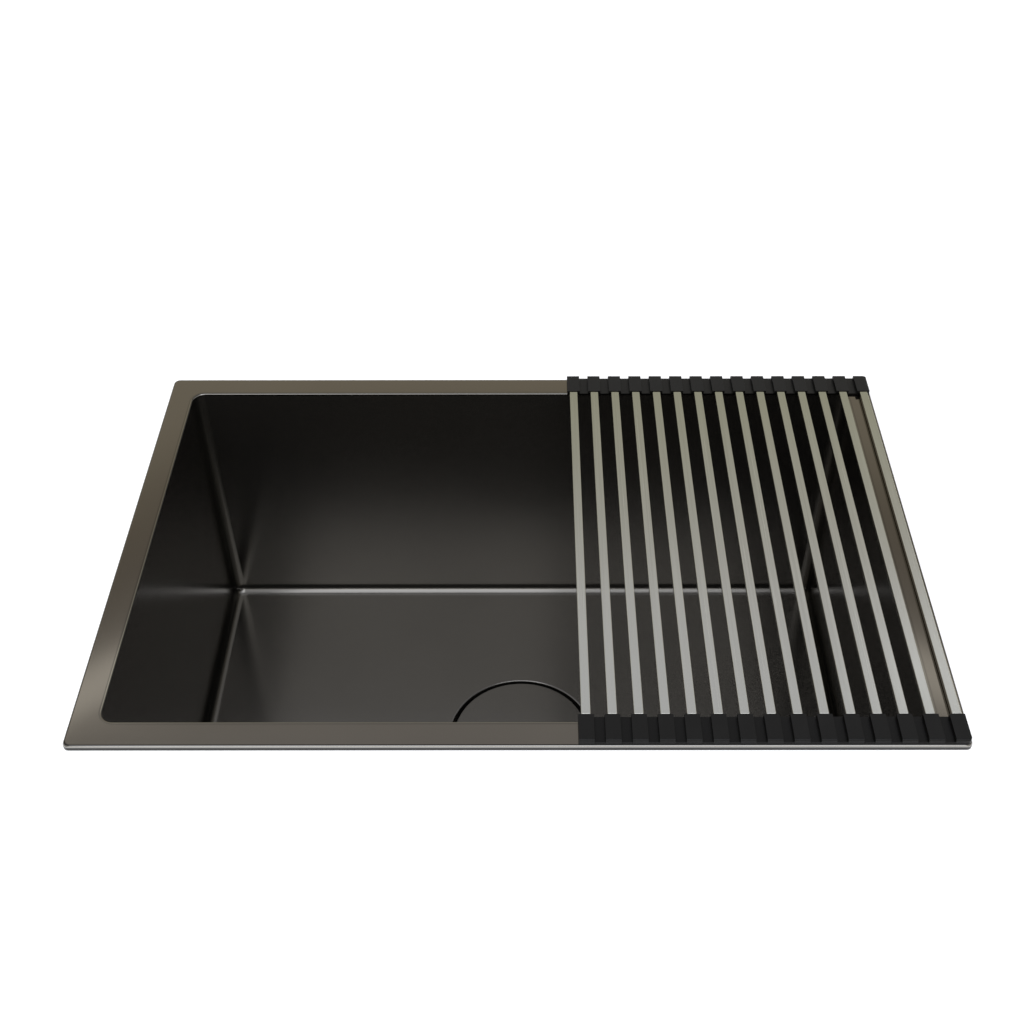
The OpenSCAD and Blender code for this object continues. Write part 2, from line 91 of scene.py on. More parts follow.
turned_down = Matrix.Rotation(math.radians(90 - LOOKING_DOWN), 3, "X")
turned_askew = Matrix.Rotation(math.radians(ASKEW), 3, "Z")
bpy.ops.object.camera_add(
    location=CAMERA_AT, rotation=(turned_down @ turned_askew).to_euler()
)
camera = bpy.context.object
camera.name = "camera"
camera.data.lens = LENS
camera.data.shift_x, camera.data.shift_y = CROPPED
bpy.context.scene.camera = camera
print("camera at", tuple(round(v, 3) for v in camera.location))

# %% [markdown]
# ## Tools for shaping
# By hand, a piece is picked, put in edit mode, and its faces or edges are picked by eye. A
# script has no eye, so these small tools pick by place: every rule gets a face, edge or corner,
# and `at` gives its middle in millimetres.


# %% Pick pieces, faces and edges
NEAR = 0.02  # millimetres within which a place counts as met


def only(*pieces):
    """Leave only these pieces selected, the first one active."""
    bpy.ops.object.select_all(action="DESELECT")
    for piece in pieces:
        piece.select_set(True)
    bpy.context.view_layer.objects.active = pieces[0]


@contextmanager
def shaping(piece):
    """Edit mode on one piece, with nothing selected in it."""
    only(piece)
    bpy.ops.object.mode_set(mode="EDIT")
    bpy.ops.mesh.select_all(action="DESELECT")
    yield
    bpy.ops.object.mode_set(mode="OBJECT")


def every(kind=None):
    """In edit mode, select the whole piece, as VERT, EDGE or FACE parts if that is given."""
    if kind:
        bpy.ops.mesh.select_mode(type=kind)
    bpy.ops.mesh.select_all(action="SELECT")


def at(part):
    """The middle of a face, an edge or a corner, in millimetres."""
    corners = [part] if hasattr(part, "co") else part.verts
    return sum((corner.co for corner in corners), Vector()) / len(corners) / MM


def pick(piece, kind, rule):
    """Select the piece's FACE, EDGE or VERT parts for which rule is true."""
    bpy.ops.mesh.select_mode(type=kind)
    bpy.ops.mesh.select_all(action="DESELECT")
    mesh = bmesh.from_edit_mesh(piece.data)
    parts = {"FACE": mesh.faces, "EDGE": mesh.edges, "VERT": mesh.verts}[kind]
    for part in [part for part in parts if rule(part)]:
        part.select_set(True)
    mesh.select_flush_mode()
    bmesh.update_edit_mesh(piece.data)


def level(part, height):
    """True if every corner of the part lies at this height."""
    return all(abs(corner.co.z / MM - height) < NEAR for corner in part.verts)


def runs(edge, axis):
    """True if an edge runs along this axis, 0 for x, 1 for y and 2 for z."""
    way = (edge.verts[1].co - edge.verts[0].co).normalized()
    return abs(way[axis]) > 0.99


def pull(extrude, *way):
    """Extrude what is picked with this operator, and move it by so many millimetres."""
    extrude(TRANSFORM_OT_translate={"value": mm(*way)})


def face_out():
    """In edit mode, make all faces agree. On a closed piece they then look outward."""
    every()
    bpy.ops.mesh.normals_make_consistent(inside=False)


def turn_up(piece, height):
    """Make an open sheet's faces agree, with those at this height facing up."""
    with shaping(piece):
        face_out()
    flats = [
        face
        for face in piece.data.polygons
        if abs(face.center.z / MM - height) < NEAR and abs(face.normal.z) > 0.9
    ]
    if flats[0].normal.z < 0:
        with shaping(piece):
            every()
            bpy.ops.mesh.flip_normals()


print("tools ready")

# %% [markdown]
# Each new object is moved and sized by its object first. Its place then goes into its mesh,
# because the finished piece has to sit at the origin, as the CAD nodes do.


# %% Start pieces from primitives
def settle(name):
    """Name the new object, and put its place and size into its mesh."""
    piece = bpy.context.object
    piece.name = piece.data.name = name
    bpy.ops.object.transform_apply()
    return piece


def block(name, low, high):
    """A cuboid between two corners."""
    low, high = mm(*low), mm(*high)
    bpy.ops.mesh.primitive_cube_add(size=1, location=(low + high) / 2)
    bpy.context.object.scale = high - low
    return settle(name)


def soften(piece, width, steps, rule):
    """Round the edges for which rule is true."""
    with shaping(piece):
        pick(piece, "EDGE", rule)
        bpy.ops.mesh.bevel(offset=mm(width), segments=steps, affect="EDGES")


def apply(piece, kind, **settings):
    """Add a modifier with these settings, and apply it."""
    only(piece)
    modifier = piece.modifiers.new("step", kind)
    for setting, value in settings.items():
        setattr(modifier, setting, value)
    bpy.ops.object.modifier_apply(modifier="step")


def copied(piece, name, move=(0, 0, 0), turn=0):
    """A copy with its own mesh, moved, then turned by so many degrees about the drain."""
    only(piece)
    bpy.ops.object.duplicate(linked=False)
    bpy.context.object.location = mm(*move)
    copy = settle(name)
    copy.rotation_euler.z = math.radians(turn)
    return settle(name)


def joined(name, *pieces):
    """Several shells as one piece."""
    only(*pieces)
    bpy.ops.object.join()
    pieces[0].name = pieces[0].data.name = name
    return pieces[0]


print("primitives ready")

# %% [markdown]
# A finished piece is shaded smooth up to its creases. Weighted normals keep the large flats
# flat next to their small round edges, as on bent sheet. The piece then stands for its CAD
# nodes, which are hidden, and rides on their body. It waits in `bare`, under the material slot
# that its finish belongs to, until that finish is mixed.


# %% Fit a finished piece to its body
CREASE_ANGLE = 35
bare = {}


def fitted(piece, body, slot, *nodes):
    """Shade the piece, and let it stand for its CAD nodes on their body."""
    only(piece)
    bpy.ops.object.shade_smooth_by_angle(angle=math.radians(CREASE_ANGLE))
    apply(piece, "WEIGHTED_NORMAL", keep_sharp=True)
    if nodes:
        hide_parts(*nodes)
    bare.setdefault(slot, []).append(piece)
    if body:
        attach(piece, body)
    return piece


def faces_of(*pieces):
    """How many faces the pieces have, for the notes that the cells print."""
    return sum(len(piece.data.polygons) for piece in pieces)


print("ready to fit")

# %% [markdown]
# ## The floor
# The sink hangs in a worktop, and in the photo everything round its rim is plain white. A pale
# slab with the real cut-out does both: it is the floor of the picture, and it hides the
# underside from above as a worktop does. It is stage, and not part of the sink. A rectangle
# and the cut-out's outline are bridged, and the ring is given the worktop's thickness.


# %% Add an outline in edit mode
def add_outline(long, deep, height, radius, steps):
    """In edit mode, add a rectangle's outline with round corners, as edges without a face."""
    bpy.ops.mesh.select_mode(type="VERT")
    bpy.ops.mesh.select_all(action="DESELECT")
    bpy.ops.mesh.primitive_plane_add(size=1, location=mm(0, 0, height))
    bpy.ops.transform.resize(value=(mm(long), mm(deep), 1), center_override=mm(0, 0, height))
    bpy.ops.mesh.bevel(offset=mm(radius), segments=steps, affect="VERTICES")
    bpy.ops.mesh.delete(type="ONLY_FACE")


def frame_between(name, outer, inner, height, steps=6):
    """A flat ring between two outlines, each given as (long, deep, corner radius)."""
    bpy.ops.mesh.primitive_plane_add(size=mm(1))
    piece = settle(name)
    with shaping(piece):
        every()
        bpy.ops.mesh.delete(type="VERT")
        for long, deep, radius in (outer, inner):
            add_outline(long, deep, height, radius, steps)
        every()
        bpy.ops.mesh.bridge_edge_loops()
    turn_up(piece, height)
    return piece


SLAB_LONG, SLAB_DEEP, SLAB_CORNER = 3600, 3200, 5
worktop = frame_between(
    "worktop",
    (SLAB_LONG, SLAB_DEEP, SLAB_CORNER),
    (CUTOUT_LONG, CUTOUT_DEEP, SLAB_CORNER),
    height=0,
)
apply(worktop, "SOLIDIFY", thickness=mm(WORKTOP), offset=-1)
print("worktop faces:", faces_of(worktop))

# %% [markdown]
# ## The light
# Dark metal shows what it mirrors. The flat rim mirrors the room behind the sink, from 36
# degrees above the horizon at its back edge to 51 at its front edge. So the room's brightness
# is set by height: pale walls, a darker band and a dim ceiling, and warmer below than above. The
# sink's side walls mirror the room's sides, which are dimmer: SIDES_FADE says where the dimming
# starts and ends, and how much light is left there.


# %% Paint the room
ROOM = (
    (0, (0.90, 0.86, 0.78)),
    (37.5, (0.95, 0.92, 0.83)),
    (40.5, (0.58, 0.55, 0.50)),
    (43, (0.52, 0.50, 0.49)),
    (47, (0.97, 0.99, 1.03)),
    (52, (0.92, 0.95, 1.06)),
    (60, (0.72, 0.74, 0.81)),
    (68, (0.50, 0.50, 0.53)),
    (76, (0.34, 0.34, 0.35)),
    (90, (0.30, 0.30, 0.31)),
)
SIDES_FADE = (0.42, 0.85, 1.0, 0.6)
world = bpy.data.worlds.new("room")
world.use_nodes = True
air = world.node_tree


def fed(kind, source=None, operation=None):
    """Add a node to the room's shader, with its first input fed by the source."""
    node = air.nodes.new("ShaderNode" + kind)
    if operation:
        node.operation = operation
    if source:
        air.links.new(source, node.inputs[0])
    return node


split = fed("SeparateXYZ", fed("TexCoord").outputs["Generated"])
paint = fed("ValToRGB", split.outputs["Z"])
aside = fed("Math", split.outputs["X"], "ABSOLUTE")
fade = fed("MapRange", aside.outputs[0])
for socket, value in enumerate(SIDES_FADE, start=1):
    fade.inputs[socket].default_value = value
dim = fed("VectorMath", paint.outputs[0], "SCALE")
air.links.new(fade.outputs[0], dim.inputs["Scale"])
air.links.new(dim.outputs[0], air.nodes["Background"].inputs["Color"])
paint.color_ramp.elements.remove(paint.color_ramp.elements[1])
for step, (height, colour) in enumerate(ROOM):
    stops = paint.color_ramp.elements
    stop = stops.new(math.sin(math.radians(height))) if step else stops[0]
    stop.color = (*colour, 1)
bpy.context.scene.world = world
bpy.context.scene.view_settings.view_transform = "Standard"
print("room:", len(ROOM), "heights")

# %% [markdown]
# Soft boxes add what is brighter than the room. The bowl's floor and back wall mirror each
# other and then the room behind the photographer, so a large box hangs there. A small box on
# either side gives the pale patches near the front of the rim's side arms, the left one a little
# brighter. Each is placed along the ray that a point of the sink mirrors, as the boxes are near.


# %% Hang the soft boxes
def softbox(name, seen_from, way, distance, size, glow, tint):
    """A rectangular soft box that this point of the sink mirrors in this direction."""
    way = Vector(way).normalized()
    bpy.ops.object.light_add(type="AREA", location=mm(*seen_from) + way * mm(distance))
    lamp = bpy.context.object
    lamp.name = name
    lamp.data.shape = "RECTANGLE"
    lamp.data.size, lamp.data.size_y = mm(size[0]), mm(size[1])
    lamp.data.energy = glow * math.pi * lamp.data.size * lamp.data.size_y
    lamp.data.color = tint
    lamp.rotation_euler = way.to_track_quat("Z", "Y").to_euler()


softbox(
    "front_box",
    seen_from=(0, 0, 0),
    way=(0, -0.60, 0.80),
    distance=3000,
    size=(2700, 3600),
    glow=1.95,
    tint=(0.94, 0.97, 1.04),
)
for side in (-1, 1):
    softbox(
        f"side_box_{side + 2}",
        seen_from=(side * 331, -157, RIM_TOP),
        way=(side * 0.305, 0.615, 0.727),
        distance=1500,
        size=(260, 85),
        glow=1.48 - side * 0.14,
        tint=(0.96, 1.0, 1.06),
    )

# %% [markdown]
# ## The rim
# The rim is folded sheet. Its outer edge turns down over a radius of 2.6 mm until it meets the
# worktop, and its inner edge turns down into the bowl, where it is welded. A solid block with
# bevels would look alike from above, but a real rim is hollow below. So two outlines are
# bridged, both edges are pulled down, the folds are rounded, and the sheet gets its thickness
# last.

# %% Fold the rim
RIM_CORNER, BOWL_CORNER = 5.0, 11.0
EDGE_FOLD, LIP, LIP_FOLD, RIM_SHEET = 2.6, 2.2, 1.5, 1.4


def inset(corner):
    """How far a corner of the mesh lies inside the rim's edge, seen from above."""
    return min(RIM_LONG / 2 - abs(corner.co.x) / MM, RIM_DEEP / 2 - abs(corner.co.y) / MM)


def outer(edge):
    return all(inset(corner) < RIM_CORNER for corner in edge.verts)


def inner(edge):
    return all(inset(corner) > RIM_WIDE - 0.1 for corner in edge.verts)


rim = frame_between(
    "rim",
    (RIM_LONG, RIM_DEEP, RIM_CORNER),
    (BOWL_LONG, BOWL_DEEP, BOWL_CORNER),
    height=RIM_TOP,
    steps=10,
)
with shaping(rim):
    for rule, drop in ((outer, RIM_TOP), (inner, LIP)):
        pick(rim, "EDGE", rule)
        pull(bpy.ops.mesh.extrude_edges_move, 0, 0, -drop)
soften(rim, EDGE_FOLD, 6, lambda edge: level(edge, RIM_TOP) and outer(edge))
soften(rim, LIP_FOLD, 6, lambda edge: level(edge, RIM_TOP) and inner(edge))
apply(rim, "SOLIDIFY", thickness=mm(RIM_SHEET), offset=-1, use_even_offset=True)
fitted(rim, "sink", "gunmetal_rim", "rim_frame")
print("rim faces:", faces_of(rim))

# %% [markdown]
# ## The bowl
# The bowl is folded from one sheet and welded up its corners. Between walls and floor the sheet
# is bent in a round, which catches the light in one bright band. A cube without its lid is the
# start: the uprights get their radius, and then the lower edge gets its bend.

# %% Fold the bowl
BOWL_TOP = RIM_TOP - LIP
BEND = 10.0

bowl = block(
    "folded_bowl",
    (-BOWL_LONG / 2, -BOWL_DEEP / 2, FLOOR),
    (BOWL_LONG / 2, BOWL_DEEP / 2, BOWL_TOP),
)
with shaping(bowl):
    pick(bowl, "FACE", lambda face: level(face, BOWL_TOP))
    bpy.ops.mesh.delete(type="ONLY_FACE")
soften(bowl, BOWL_CORNER, 10, lambda edge: runs(edge, 2))
soften(bowl, BEND, 12, lambda edge: level(edge, FLOOR))
print("bowl faces:", faces_of(bowl))

# %% [markdown]
# The floor has a round recess for the drain cover, and a hole for the strainer in it. The
# floor's face is taken out, the space between its outline and a circle is filled, and the
# circle is pushed down and drawn in. Bridging would also join the two, but it twists where one
# outline has many more corners than the other. Small radii at the recess's mouth and foot are
# what a press leaves.


# %% Press the recess
def ring(edge, radius, height):
    """True if an edge belongs to a circle about the drain's axis at this height."""
    corners = [corner.co / MM for corner in edge.verts]
    return level(edge, height) and all(abs(math.hypot(*co.xy) - radius) < NEAR for co in corners)


RECESS_STEPS, MOUTH_FOLD, RECESS_FOLD, DRAIN_HOLE_R = 128, 2.0, 1.2, 45.0
with shaping(bowl):
    pick(bowl, "FACE", lambda face: level(face, FLOOR) and len(face.verts) > 20)
    bpy.ops.mesh.delete(type="ONLY_FACE")
    bpy.ops.mesh.primitive_circle_add(
        vertices=RECESS_STEPS, radius=mm(RECESS_R), location=mm(0, 0, FLOOR)
    )
    pick(bowl, "EDGE", lambda edge: level(edge, FLOOR) and len(edge.link_faces) < 2)
    bpy.ops.mesh.fill(use_beauty=True)
    pick(bowl, "EDGE", lambda edge: ring(edge, RECESS_R, FLOOR))
    pull(bpy.ops.mesh.extrude_edges_move, 0, 0, RECESS_FLOOR - FLOOR)
    pull(bpy.ops.mesh.extrude_edges_move, 0, 0, 0)
    bpy.ops.transform.resize(
        value=(DRAIN_HOLE_R / RECESS_R, DRAIN_HOLE_R / RECESS_R, 1),
        center_override=mm(0, 0, RECESS_FLOOR),
    )
soften(bowl, MOUTH_FOLD, 4, lambda edge: ring(edge, RECESS_R, FLOOR))
soften(bowl, RECESS_FOLD, 3, lambda edge: ring(edge, RECESS_R, RECESS_FLOOR))
turn_up(bowl, FLOOR)
apply(bowl, "SOLIDIFY", thickness=mm(SHEET), offset=-1, use_even_offset=True)
print("with its recess:", faces_of(bowl))

# %% [markdown]
# The sheet's folds meet in the bottom corners, where a real bowl is closed with a spot of weld.
# A few bright beads are left of it at the back, and they sit half in the sheet.

# %% Leave the weld beads
BEADS = (  # inward from the side wall, forward from the back wall, above the floor, radius
    (6.0, 4.2, 4.6, 1.5),
    (3.4, 5.6, 7.4, 1.3),
    (4.0, 3.6, 5.6, 1.2),
    (7.6, 3.2, 3.6, 1.1),
)
beads = []
for side in (-1, 1):
    for inward, forward, above, radius in BEADS:
        place = mm(side * (BOWL_LONG / 2 - inward), BOWL_DEEP / 2 - forward, FLOOR + above)
        bpy.ops.mesh.primitive_ico_sphere_add(subdivisions=2, radius=mm(radius), location=place)
        beads.append(settle("bead"))
bowl = joined("folded_bowl", bowl, *beads)
fitted(bowl, "sink", "gunmetal_bowl", "bowl")
print("beads:", len(beads))

# %% [markdown]
# ## Round pieces
# The cover, the strainer and its nuts are turned, spun or cast round one axis. On a lathe the
# tool follows an outline, and so does this: one corner is extruded from point to point, and the
# outline is spun round the drain's axis. `rounded` gives the outline its small radii first.


# %% Round an outline's corners
def rounded(points, steps):
    """Points are (radius, height) or (radius, height, fillet). Gives plain points."""
    made = []
    for index, (radius, height, *fillet) in enumerate(points):
        corner = Vector((radius, height))
        if not fillet:
            made.append(corner)
            continue
        before = (Vector(points[index - 1][:2]) - corner).normalized()
        after = (Vector(points[(index + 1) % len(points)][:2]) - corner).normalized()
        half = before.angle(after) / 2
        centre = corner + (before + after).normalized() * fillet[0] / math.sin(half)
        start = corner + before * fillet[0] / math.tan(half) - centre
        end = corner + after * fillet[0] / math.tan(half) - centre
        sweep = math.pi - 2 * half
        for step in range(steps + 1):
            share = step / steps
            made.append(
                centre
                + start * (math.sin((1 - share) * sweep) / math.sin(sweep))
                + end * (math.sin(share * sweep) / math.sin(sweep))
            )
    return made


@contextmanager
def tracing(name, start, steps):
    """Edit mode on a new piece: one corner at start, extruded step by step to an outline."""
    bpy.ops.mesh.primitive_plane_add(size=mm(1))
    piece = settle(name)
    with shaping(piece):
        every("VERT")
        bpy.ops.mesh.merge(type="CENTER")
        bpy.ops.transform.translate(value=mm(start[0], 0, start[1]))
        for out, up in steps:
            pull(bpy.ops.mesh.extrude_vertices_move, out, 0, up)
        yield piece


def turned(name, *points, closed=True, steps=96, fillet_steps=4):
    """Spin an outline about the drain's axis. An outline that isn't closed gives a sheet."""
    outline = rounded(points, fillet_steps)
    steps_between = [after - before for before, after in zip(outline, outline[1:])]
    with tracing(name, outline[0], steps_between) as piece:
        if closed:
            mesh = bmesh.from_edit_mesh(piece.data)
            mesh.verts.ensure_lookup_table()
            mesh.verts[0].select_set(True)
            bmesh.update_edit_mesh(piece.data)
            bpy.ops.mesh.edge_face_add()
        every()
        bpy.ops.mesh.spin(steps=steps, angle=2 * math.pi, center=(0, 0, 0), axis=(0, 0, 1))
        every()
        bpy.ops.mesh.remove_doubles(threshold=mm(0.001))
        face_out()
    return piece


print("lathe ready")

# %% [markdown]
# ## The drain cover
# The cover is a 2 mm disc of the bowl's own metal that lies flush in its recess, with a narrow
# gap round it that the water runs through. Four rubber feet under its edge stand outside the
# strainer's flange.

# %% Turn the cover and its feet
COVER_R, COVER_T = RECESS_R - 3.4, 2.0
FOOT_R, FEET_RING = 3.0, 63.5

cover = turned(
    "drain_plate",
    (0, FLOOR),
    (COVER_R - 8, FLOOR),
    (COVER_R, FLOOR, 0.5),
    (COVER_R, FLOOR - COVER_T, 0.3),
    (0, FLOOR - COVER_T),
    closed=False,
    steps=128,
)
fitted(cover, "cover", "gunmetal_cover", "drain_cover")

foot = turned(
    "foot",
    (0, RECESS_FLOOR),
    (FOOT_R - 0.3, RECESS_FLOOR, 0.5),
    (FOOT_R - 0.3, RECESS_FLOOR + 2),
    (FOOT_R, FLOOR - COVER_T, 0.2),
    (0, FLOOR - COVER_T),
    closed=False,
    steps=32,
)
feet = [copied(foot, f"foot_{k}", move=(FEET_RING, 0, 0), turn=45 + 90 * k) for k in range(4)]
bpy.data.objects.remove(foot)
cover_feet = fitted(joined("rubber_feet", *feet), "cover", "seal_rubber", "cover_feet")
print("cover and feet:", faces_of(cover, cover_feet), "faces")

# %% [markdown]
# ## The rack's bars
# Fifteen flat steel bars with round edges carry the dishes. Each has a round shoulder at its
# ends, and a narrower neck that goes into the silicone. One bar is shaped and then copied along
# the rim: a cube gets all its edges rounded, and its ends are inset and pulled out.

# %% Draw one bar and copy it
BARS, PITCH, LAST_BAR = 15, 20.2, 334.8
BAR_WIDE, BAR_LOW, BAR_HIGH, BAR_FOLD = 7.46, 5.7, 9.9, 0.6
CAP_IN, CAP_OUT, BAR_END = 201.9, 227.3, 225.3
SHOULDER, NECK_IN = CAP_IN - 0.5, 0.15


def bar_x(number):
    """The place of a bar along the rim. Bar 1 is the leftmost."""
    return LAST_BAR - (BARS - number) * PITCH


def at_bar(original, name, number, slot, node):
    """A copy at this bar, which rides on the bar's segment of the rack."""
    copy = copied(original, f"{name}_{number:02d}", move=(bar_x(number), 0, 0))
    return fitted(copy, f"rack_segment_{number:02d}", slot, f"{node}_{number:02d}")


bar = block("bar", (-BAR_WIDE / 2, -SHOULDER, BAR_LOW), (BAR_WIDE / 2, SHOULDER, BAR_HIGH))
soften(bar, BAR_FOLD, 5, lambda edge: True)
with shaping(bar):
    for side in (-1, 1):
        pick(bar, "FACE", lambda face: face.normal.y * side > 0.999)
        bpy.ops.mesh.inset(thickness=mm(NECK_IN))
        pull(bpy.ops.mesh.extrude_region_move, 0, side * (BAR_END - SHOULDER), 0)
bars = [at_bar(bar, "bar", number, "bar_steel", "rack_bar") for number in range(1, BARS + 1)]
bpy.data.objects.remove(bar)
print("bars:", len(bars), "with", faces_of(bars[0]), "faces each")

# %% [markdown]
# ## The rack's silicone ends
# Each bar ends in two silicone blocks, moulded in a row that is joined by thin webs. The blocks
# stay stiff and ride with their bar. The outer upper edge is well rounded, and the very last
# block has a round corner in plan. Each block's inner face has the socket for the bar's neck.

# %% Mould the blocks
CAP_WIDE, CAP_LOW, CAP_HIGH = 12.0, 5.3, 10.3
CAP_EDGE, CAP_CORNER, CAP_SOFT = 1.8, 2.4, 0.3
SOCKET_IN, SOCKET_SHARE, SOCKET_DEEP = 0.5, 0.62, 2


def cap_block(side, last):
    """One block, at the back for side 1 and at the front for side -1."""
    near, far = sorted((side * CAP_IN, side * CAP_OUT))
    piece = block("cap", (-CAP_WIDE / 2, near, CAP_LOW), (CAP_WIDE / 2, far, CAP_HIGH))

    def beyond(edge, back):
        """True if an edge lies within so many millimetres of the block's outer end."""
        return at(edge).y * side > CAP_OUT - back

    def upright(edge):
        return runs(edge, 2) and at(edge).x > 0 and beyond(edge, 1)

    def upper(edge):
        return level(edge, CAP_HIGH) and beyond(edge, CAP_CORNER + 0.1) and not runs(edge, 1)

    if last:
        soften(piece, CAP_CORNER, 6, upright)
    soften(piece, CAP_EDGE, 6, upper)
    soften(piece, CAP_SOFT, 2, lambda edge: edge.calc_face_angle(0) > math.radians(60))
    with shaping(piece):
        pick(piece, "FACE", lambda face: face.normal.y * side < -0.99)
        bpy.ops.mesh.inset(thickness=mm(SOCKET_IN))
        middle = mm(0, side * CAP_IN, (CAP_LOW + CAP_HIGH) / 2)
        bpy.ops.transform.resize(value=(SOCKET_SHARE, 1, 1), center_override=middle)
        pull(bpy.ops.mesh.extrude_region_move, 0, side * SOCKET_DEEP, 0)
    return piece


caps = []
for number in range(1, BARS + 1):
    pair = joined("cap_pair", *[cap_block(side, number == BARS) for side in (-1, 1)])
    caps.append(at_bar(pair, "cap_pair", number, "silicone", "end_caps"))
    bpy.data.objects.remove(pair)
print("cap pairs:", len(caps), "with", faces_of(caps[0]), "faces each")

# %% [markdown]
# The webs are what bends when the rack is rolled up. Each is a thin strip of silicone between
# two blocks, one on one bar and one on the next. It needs cross cuts to bend in a curve.

# %% Mould the webs
WEB_HIGH, WEB_EDGE, WEB_GRIP, WEB_CUTS = 7.05, 0.85, 0.5, 9
WEB_HALF, WEB_IN, WEB_OUT = (PITCH - CAP_WIDE) / 2 + WEB_GRIP, CAP_IN + 0.3, CAP_OUT - 0.2


def web_strip(side):
    near, far = sorted((side * WEB_IN, side * WEB_OUT))
    far_end = CAP_OUT - 1
    piece = block("web", (-WEB_HALF, near, CAP_LOW), (WEB_HALF, far, WEB_HIGH))
    soften(piece, WEB_EDGE, 5, lambda edge: level(edge, WEB_HIGH) and at(edge).y * side > far_end)
    with shaping(piece):
        pick(piece, "EDGE", lambda edge: runs(edge, 0))
        bpy.ops.mesh.subdivide(number_cuts=WEB_CUTS)
    return piece


web_pair = joined("web_pair", web_strip(-1), web_strip(1))
webs = []
for number in range(1, BARS):
    middle = bar_x(number) + PITCH / 2
    web = copied(web_pair, f"web_pair_{number:02d}", move=(middle, 0, 0))
    fitted(web, None, "silicone")
    mm(middle + WEB_HALF - WEB_GRIP, 0, WEB_HIGH)
    mm(middle - WEB_HALF + WEB_GRIP, 0, WEB_HIGH)
    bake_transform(web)
    webs.append(web)
bpy.data.objects.remove(web_pair)
print("web pairs:", len(webs), "with", faces_of(webs[0]), "faces each")

# %% [markdown]
# ## The strainer
# Under the cover, a steel cup with a wide flange goes through the floor. Its wall carries the
# thread of the lock nut, and a spigot below takes the tailpiece. The cup is turned with its
# bore in one closed outline, so its walls have their real thickness.

# %% Turn the strainer's body
FLANGE_TOP, FLANGE_UNDER, FLANGE_R = -274.0, -275.5, 57.0
CUP_R, CUP_OUT, CUP_FLOOR, CUP_UNDER = 41.0, 42.0, -324.0, -325.5
SPIGOT_R, OUTLET_R, SPIGOT_END = 23.5, 17.5, -347.5

strainer = turned(
    "strainer_cup",
    (CUP_R, FLANGE_TOP, 1.0),
    (FLANGE_R, FLANGE_TOP, 0.7),
    (FLANGE_R, FLANGE_UNDER, 0.4),
    (CUP_OUT, FLANGE_UNDER),
    (CUP_OUT, CUP_UNDER, 1.2),
    (SPIGOT_R, CUP_UNDER),
    (SPIGOT_R, SPIGOT_END, 0.3),
    (OUTLET_R, SPIGOT_END, 0.3),
    (OUTLET_R, CUP_FLOOR, 0.8),
    (CUP_R, CUP_FLOOR, 1.5),
)
print("strainer cup:", faces_of(strainer), "faces")

# %% [markdown]
# A thread is one ridge that winds round the wall. A small pointed outline is wound by the Screw
# modifier, one pitch higher at each turn, and joined to the cup.


# %% Wind the threads
def thread(name, radius, height, pitch, low, turns):
    """A ridge of this height on a wall of this radius, winding up from low."""
    flank, crest, root = 0.32 * pitch, 0.14 * pitch, 0.3
    ridge = (height + root, flank), (0, crest), (-height - root, flank)
    with tracing(name, (radius - root, low), ridge) as piece:
        every()
        bpy.ops.mesh.edge_face_add()
        bpy.ops.mesh.delete(type="ONLY_FACE")
    wound = {"angle": 2 * math.pi, "screw_offset": mm(pitch), "iterations": turns}
    apply(piece, "SCREW", **wound, steps=48, render_steps=48, use_normal_calculate=True)
    with shaping(piece):
        bpy.ops.mesh.select_mode(type="EDGE")
        bpy.ops.mesh.select_non_manifold()
        bpy.ops.mesh.edge_face_add()
        face_out()
    return piece


THREAD_PITCH, THREAD_TOP, THREAD_TURNS = 2.5, -279.5, 13
thread_low = THREAD_TOP - (THREAD_TURNS + 1) * THREAD_PITCH
cup_thread = thread("cup_thread", CUP_OUT, 0.75, THREAD_PITCH, thread_low, THREAD_TURNS)
spigot_thread = thread("spigot_thread", SPIGOT_R, 0.6, 2.2, SPIGOT_END + 0.8, turns=7)
strainer = joined("strainer_cup", strainer, cup_thread, spigot_thread)
fitted(strainer, "sink", "strainer_steel", "strainer_body")
print("strainer:", faces_of(strainer), "faces")

# %% [markdown]
# The strainer clamps the floor between a seal on top and, below, a rubber washer, a slippery
# fibre ring and a cast lock nut. The rings are turned. The nut's lugs, which a wrench pushes,
# are blocks with soft edges, copied round the axis.

# %% Turn the rings and cast the lock nut
def washer(name, hole_r, outer_r, low, high, fillet):
    """A turned ring with rounded edges."""
    corners = [(hole_r, high), (outer_r, high), (outer_r, low), (hole_r, low)]
    return turned(name, *[(*corner, fillet) for corner in corners], fillet_steps=3)


NUT_BORE_R, NUT_R, NUT_LOW, NUT_TOP = 42.85, 52.0, -294.5, -282.5
RING_R, SLIP_TOP = 57.0, -281.5
seal = washer("flange_gasket", DRAIN_HOLE_R, FLANGE_R, RECESS_FLOOR, FLANGE_UNDER, 0.4)
under = washer("under_washer", NUT_BORE_R, RING_R, SLIP_TOP, DISH_UNDER, 0.8)
slip = washer("slip_ring", NUT_BORE_R, RING_R, NUT_TOP, SLIP_TOP, 0.25)
fitted(seal, "sink", "seal_rubber", "flange_seal")
fitted(under, "sink", "seal_rubber", "drain_washer")
fitted(slip, "sink", "fibre", "friction_ring")


def ribbed(name, ring, reach, wide, span, count, soft):
    """A turned ring with blocks copied round it. Reach and span are each from, to."""
    lug = block("lug", (reach[0], -wide / 2, span[0]), (reach[1], wide / 2, span[1]))
    soften(lug, soft, 3, lambda edge: True)
    lugs = [copied(lug, f"lug_{k}", turn=360 * k / count) for k in range(count)]
    bpy.data.objects.remove(lug)
    return joined(name, ring, *lugs)


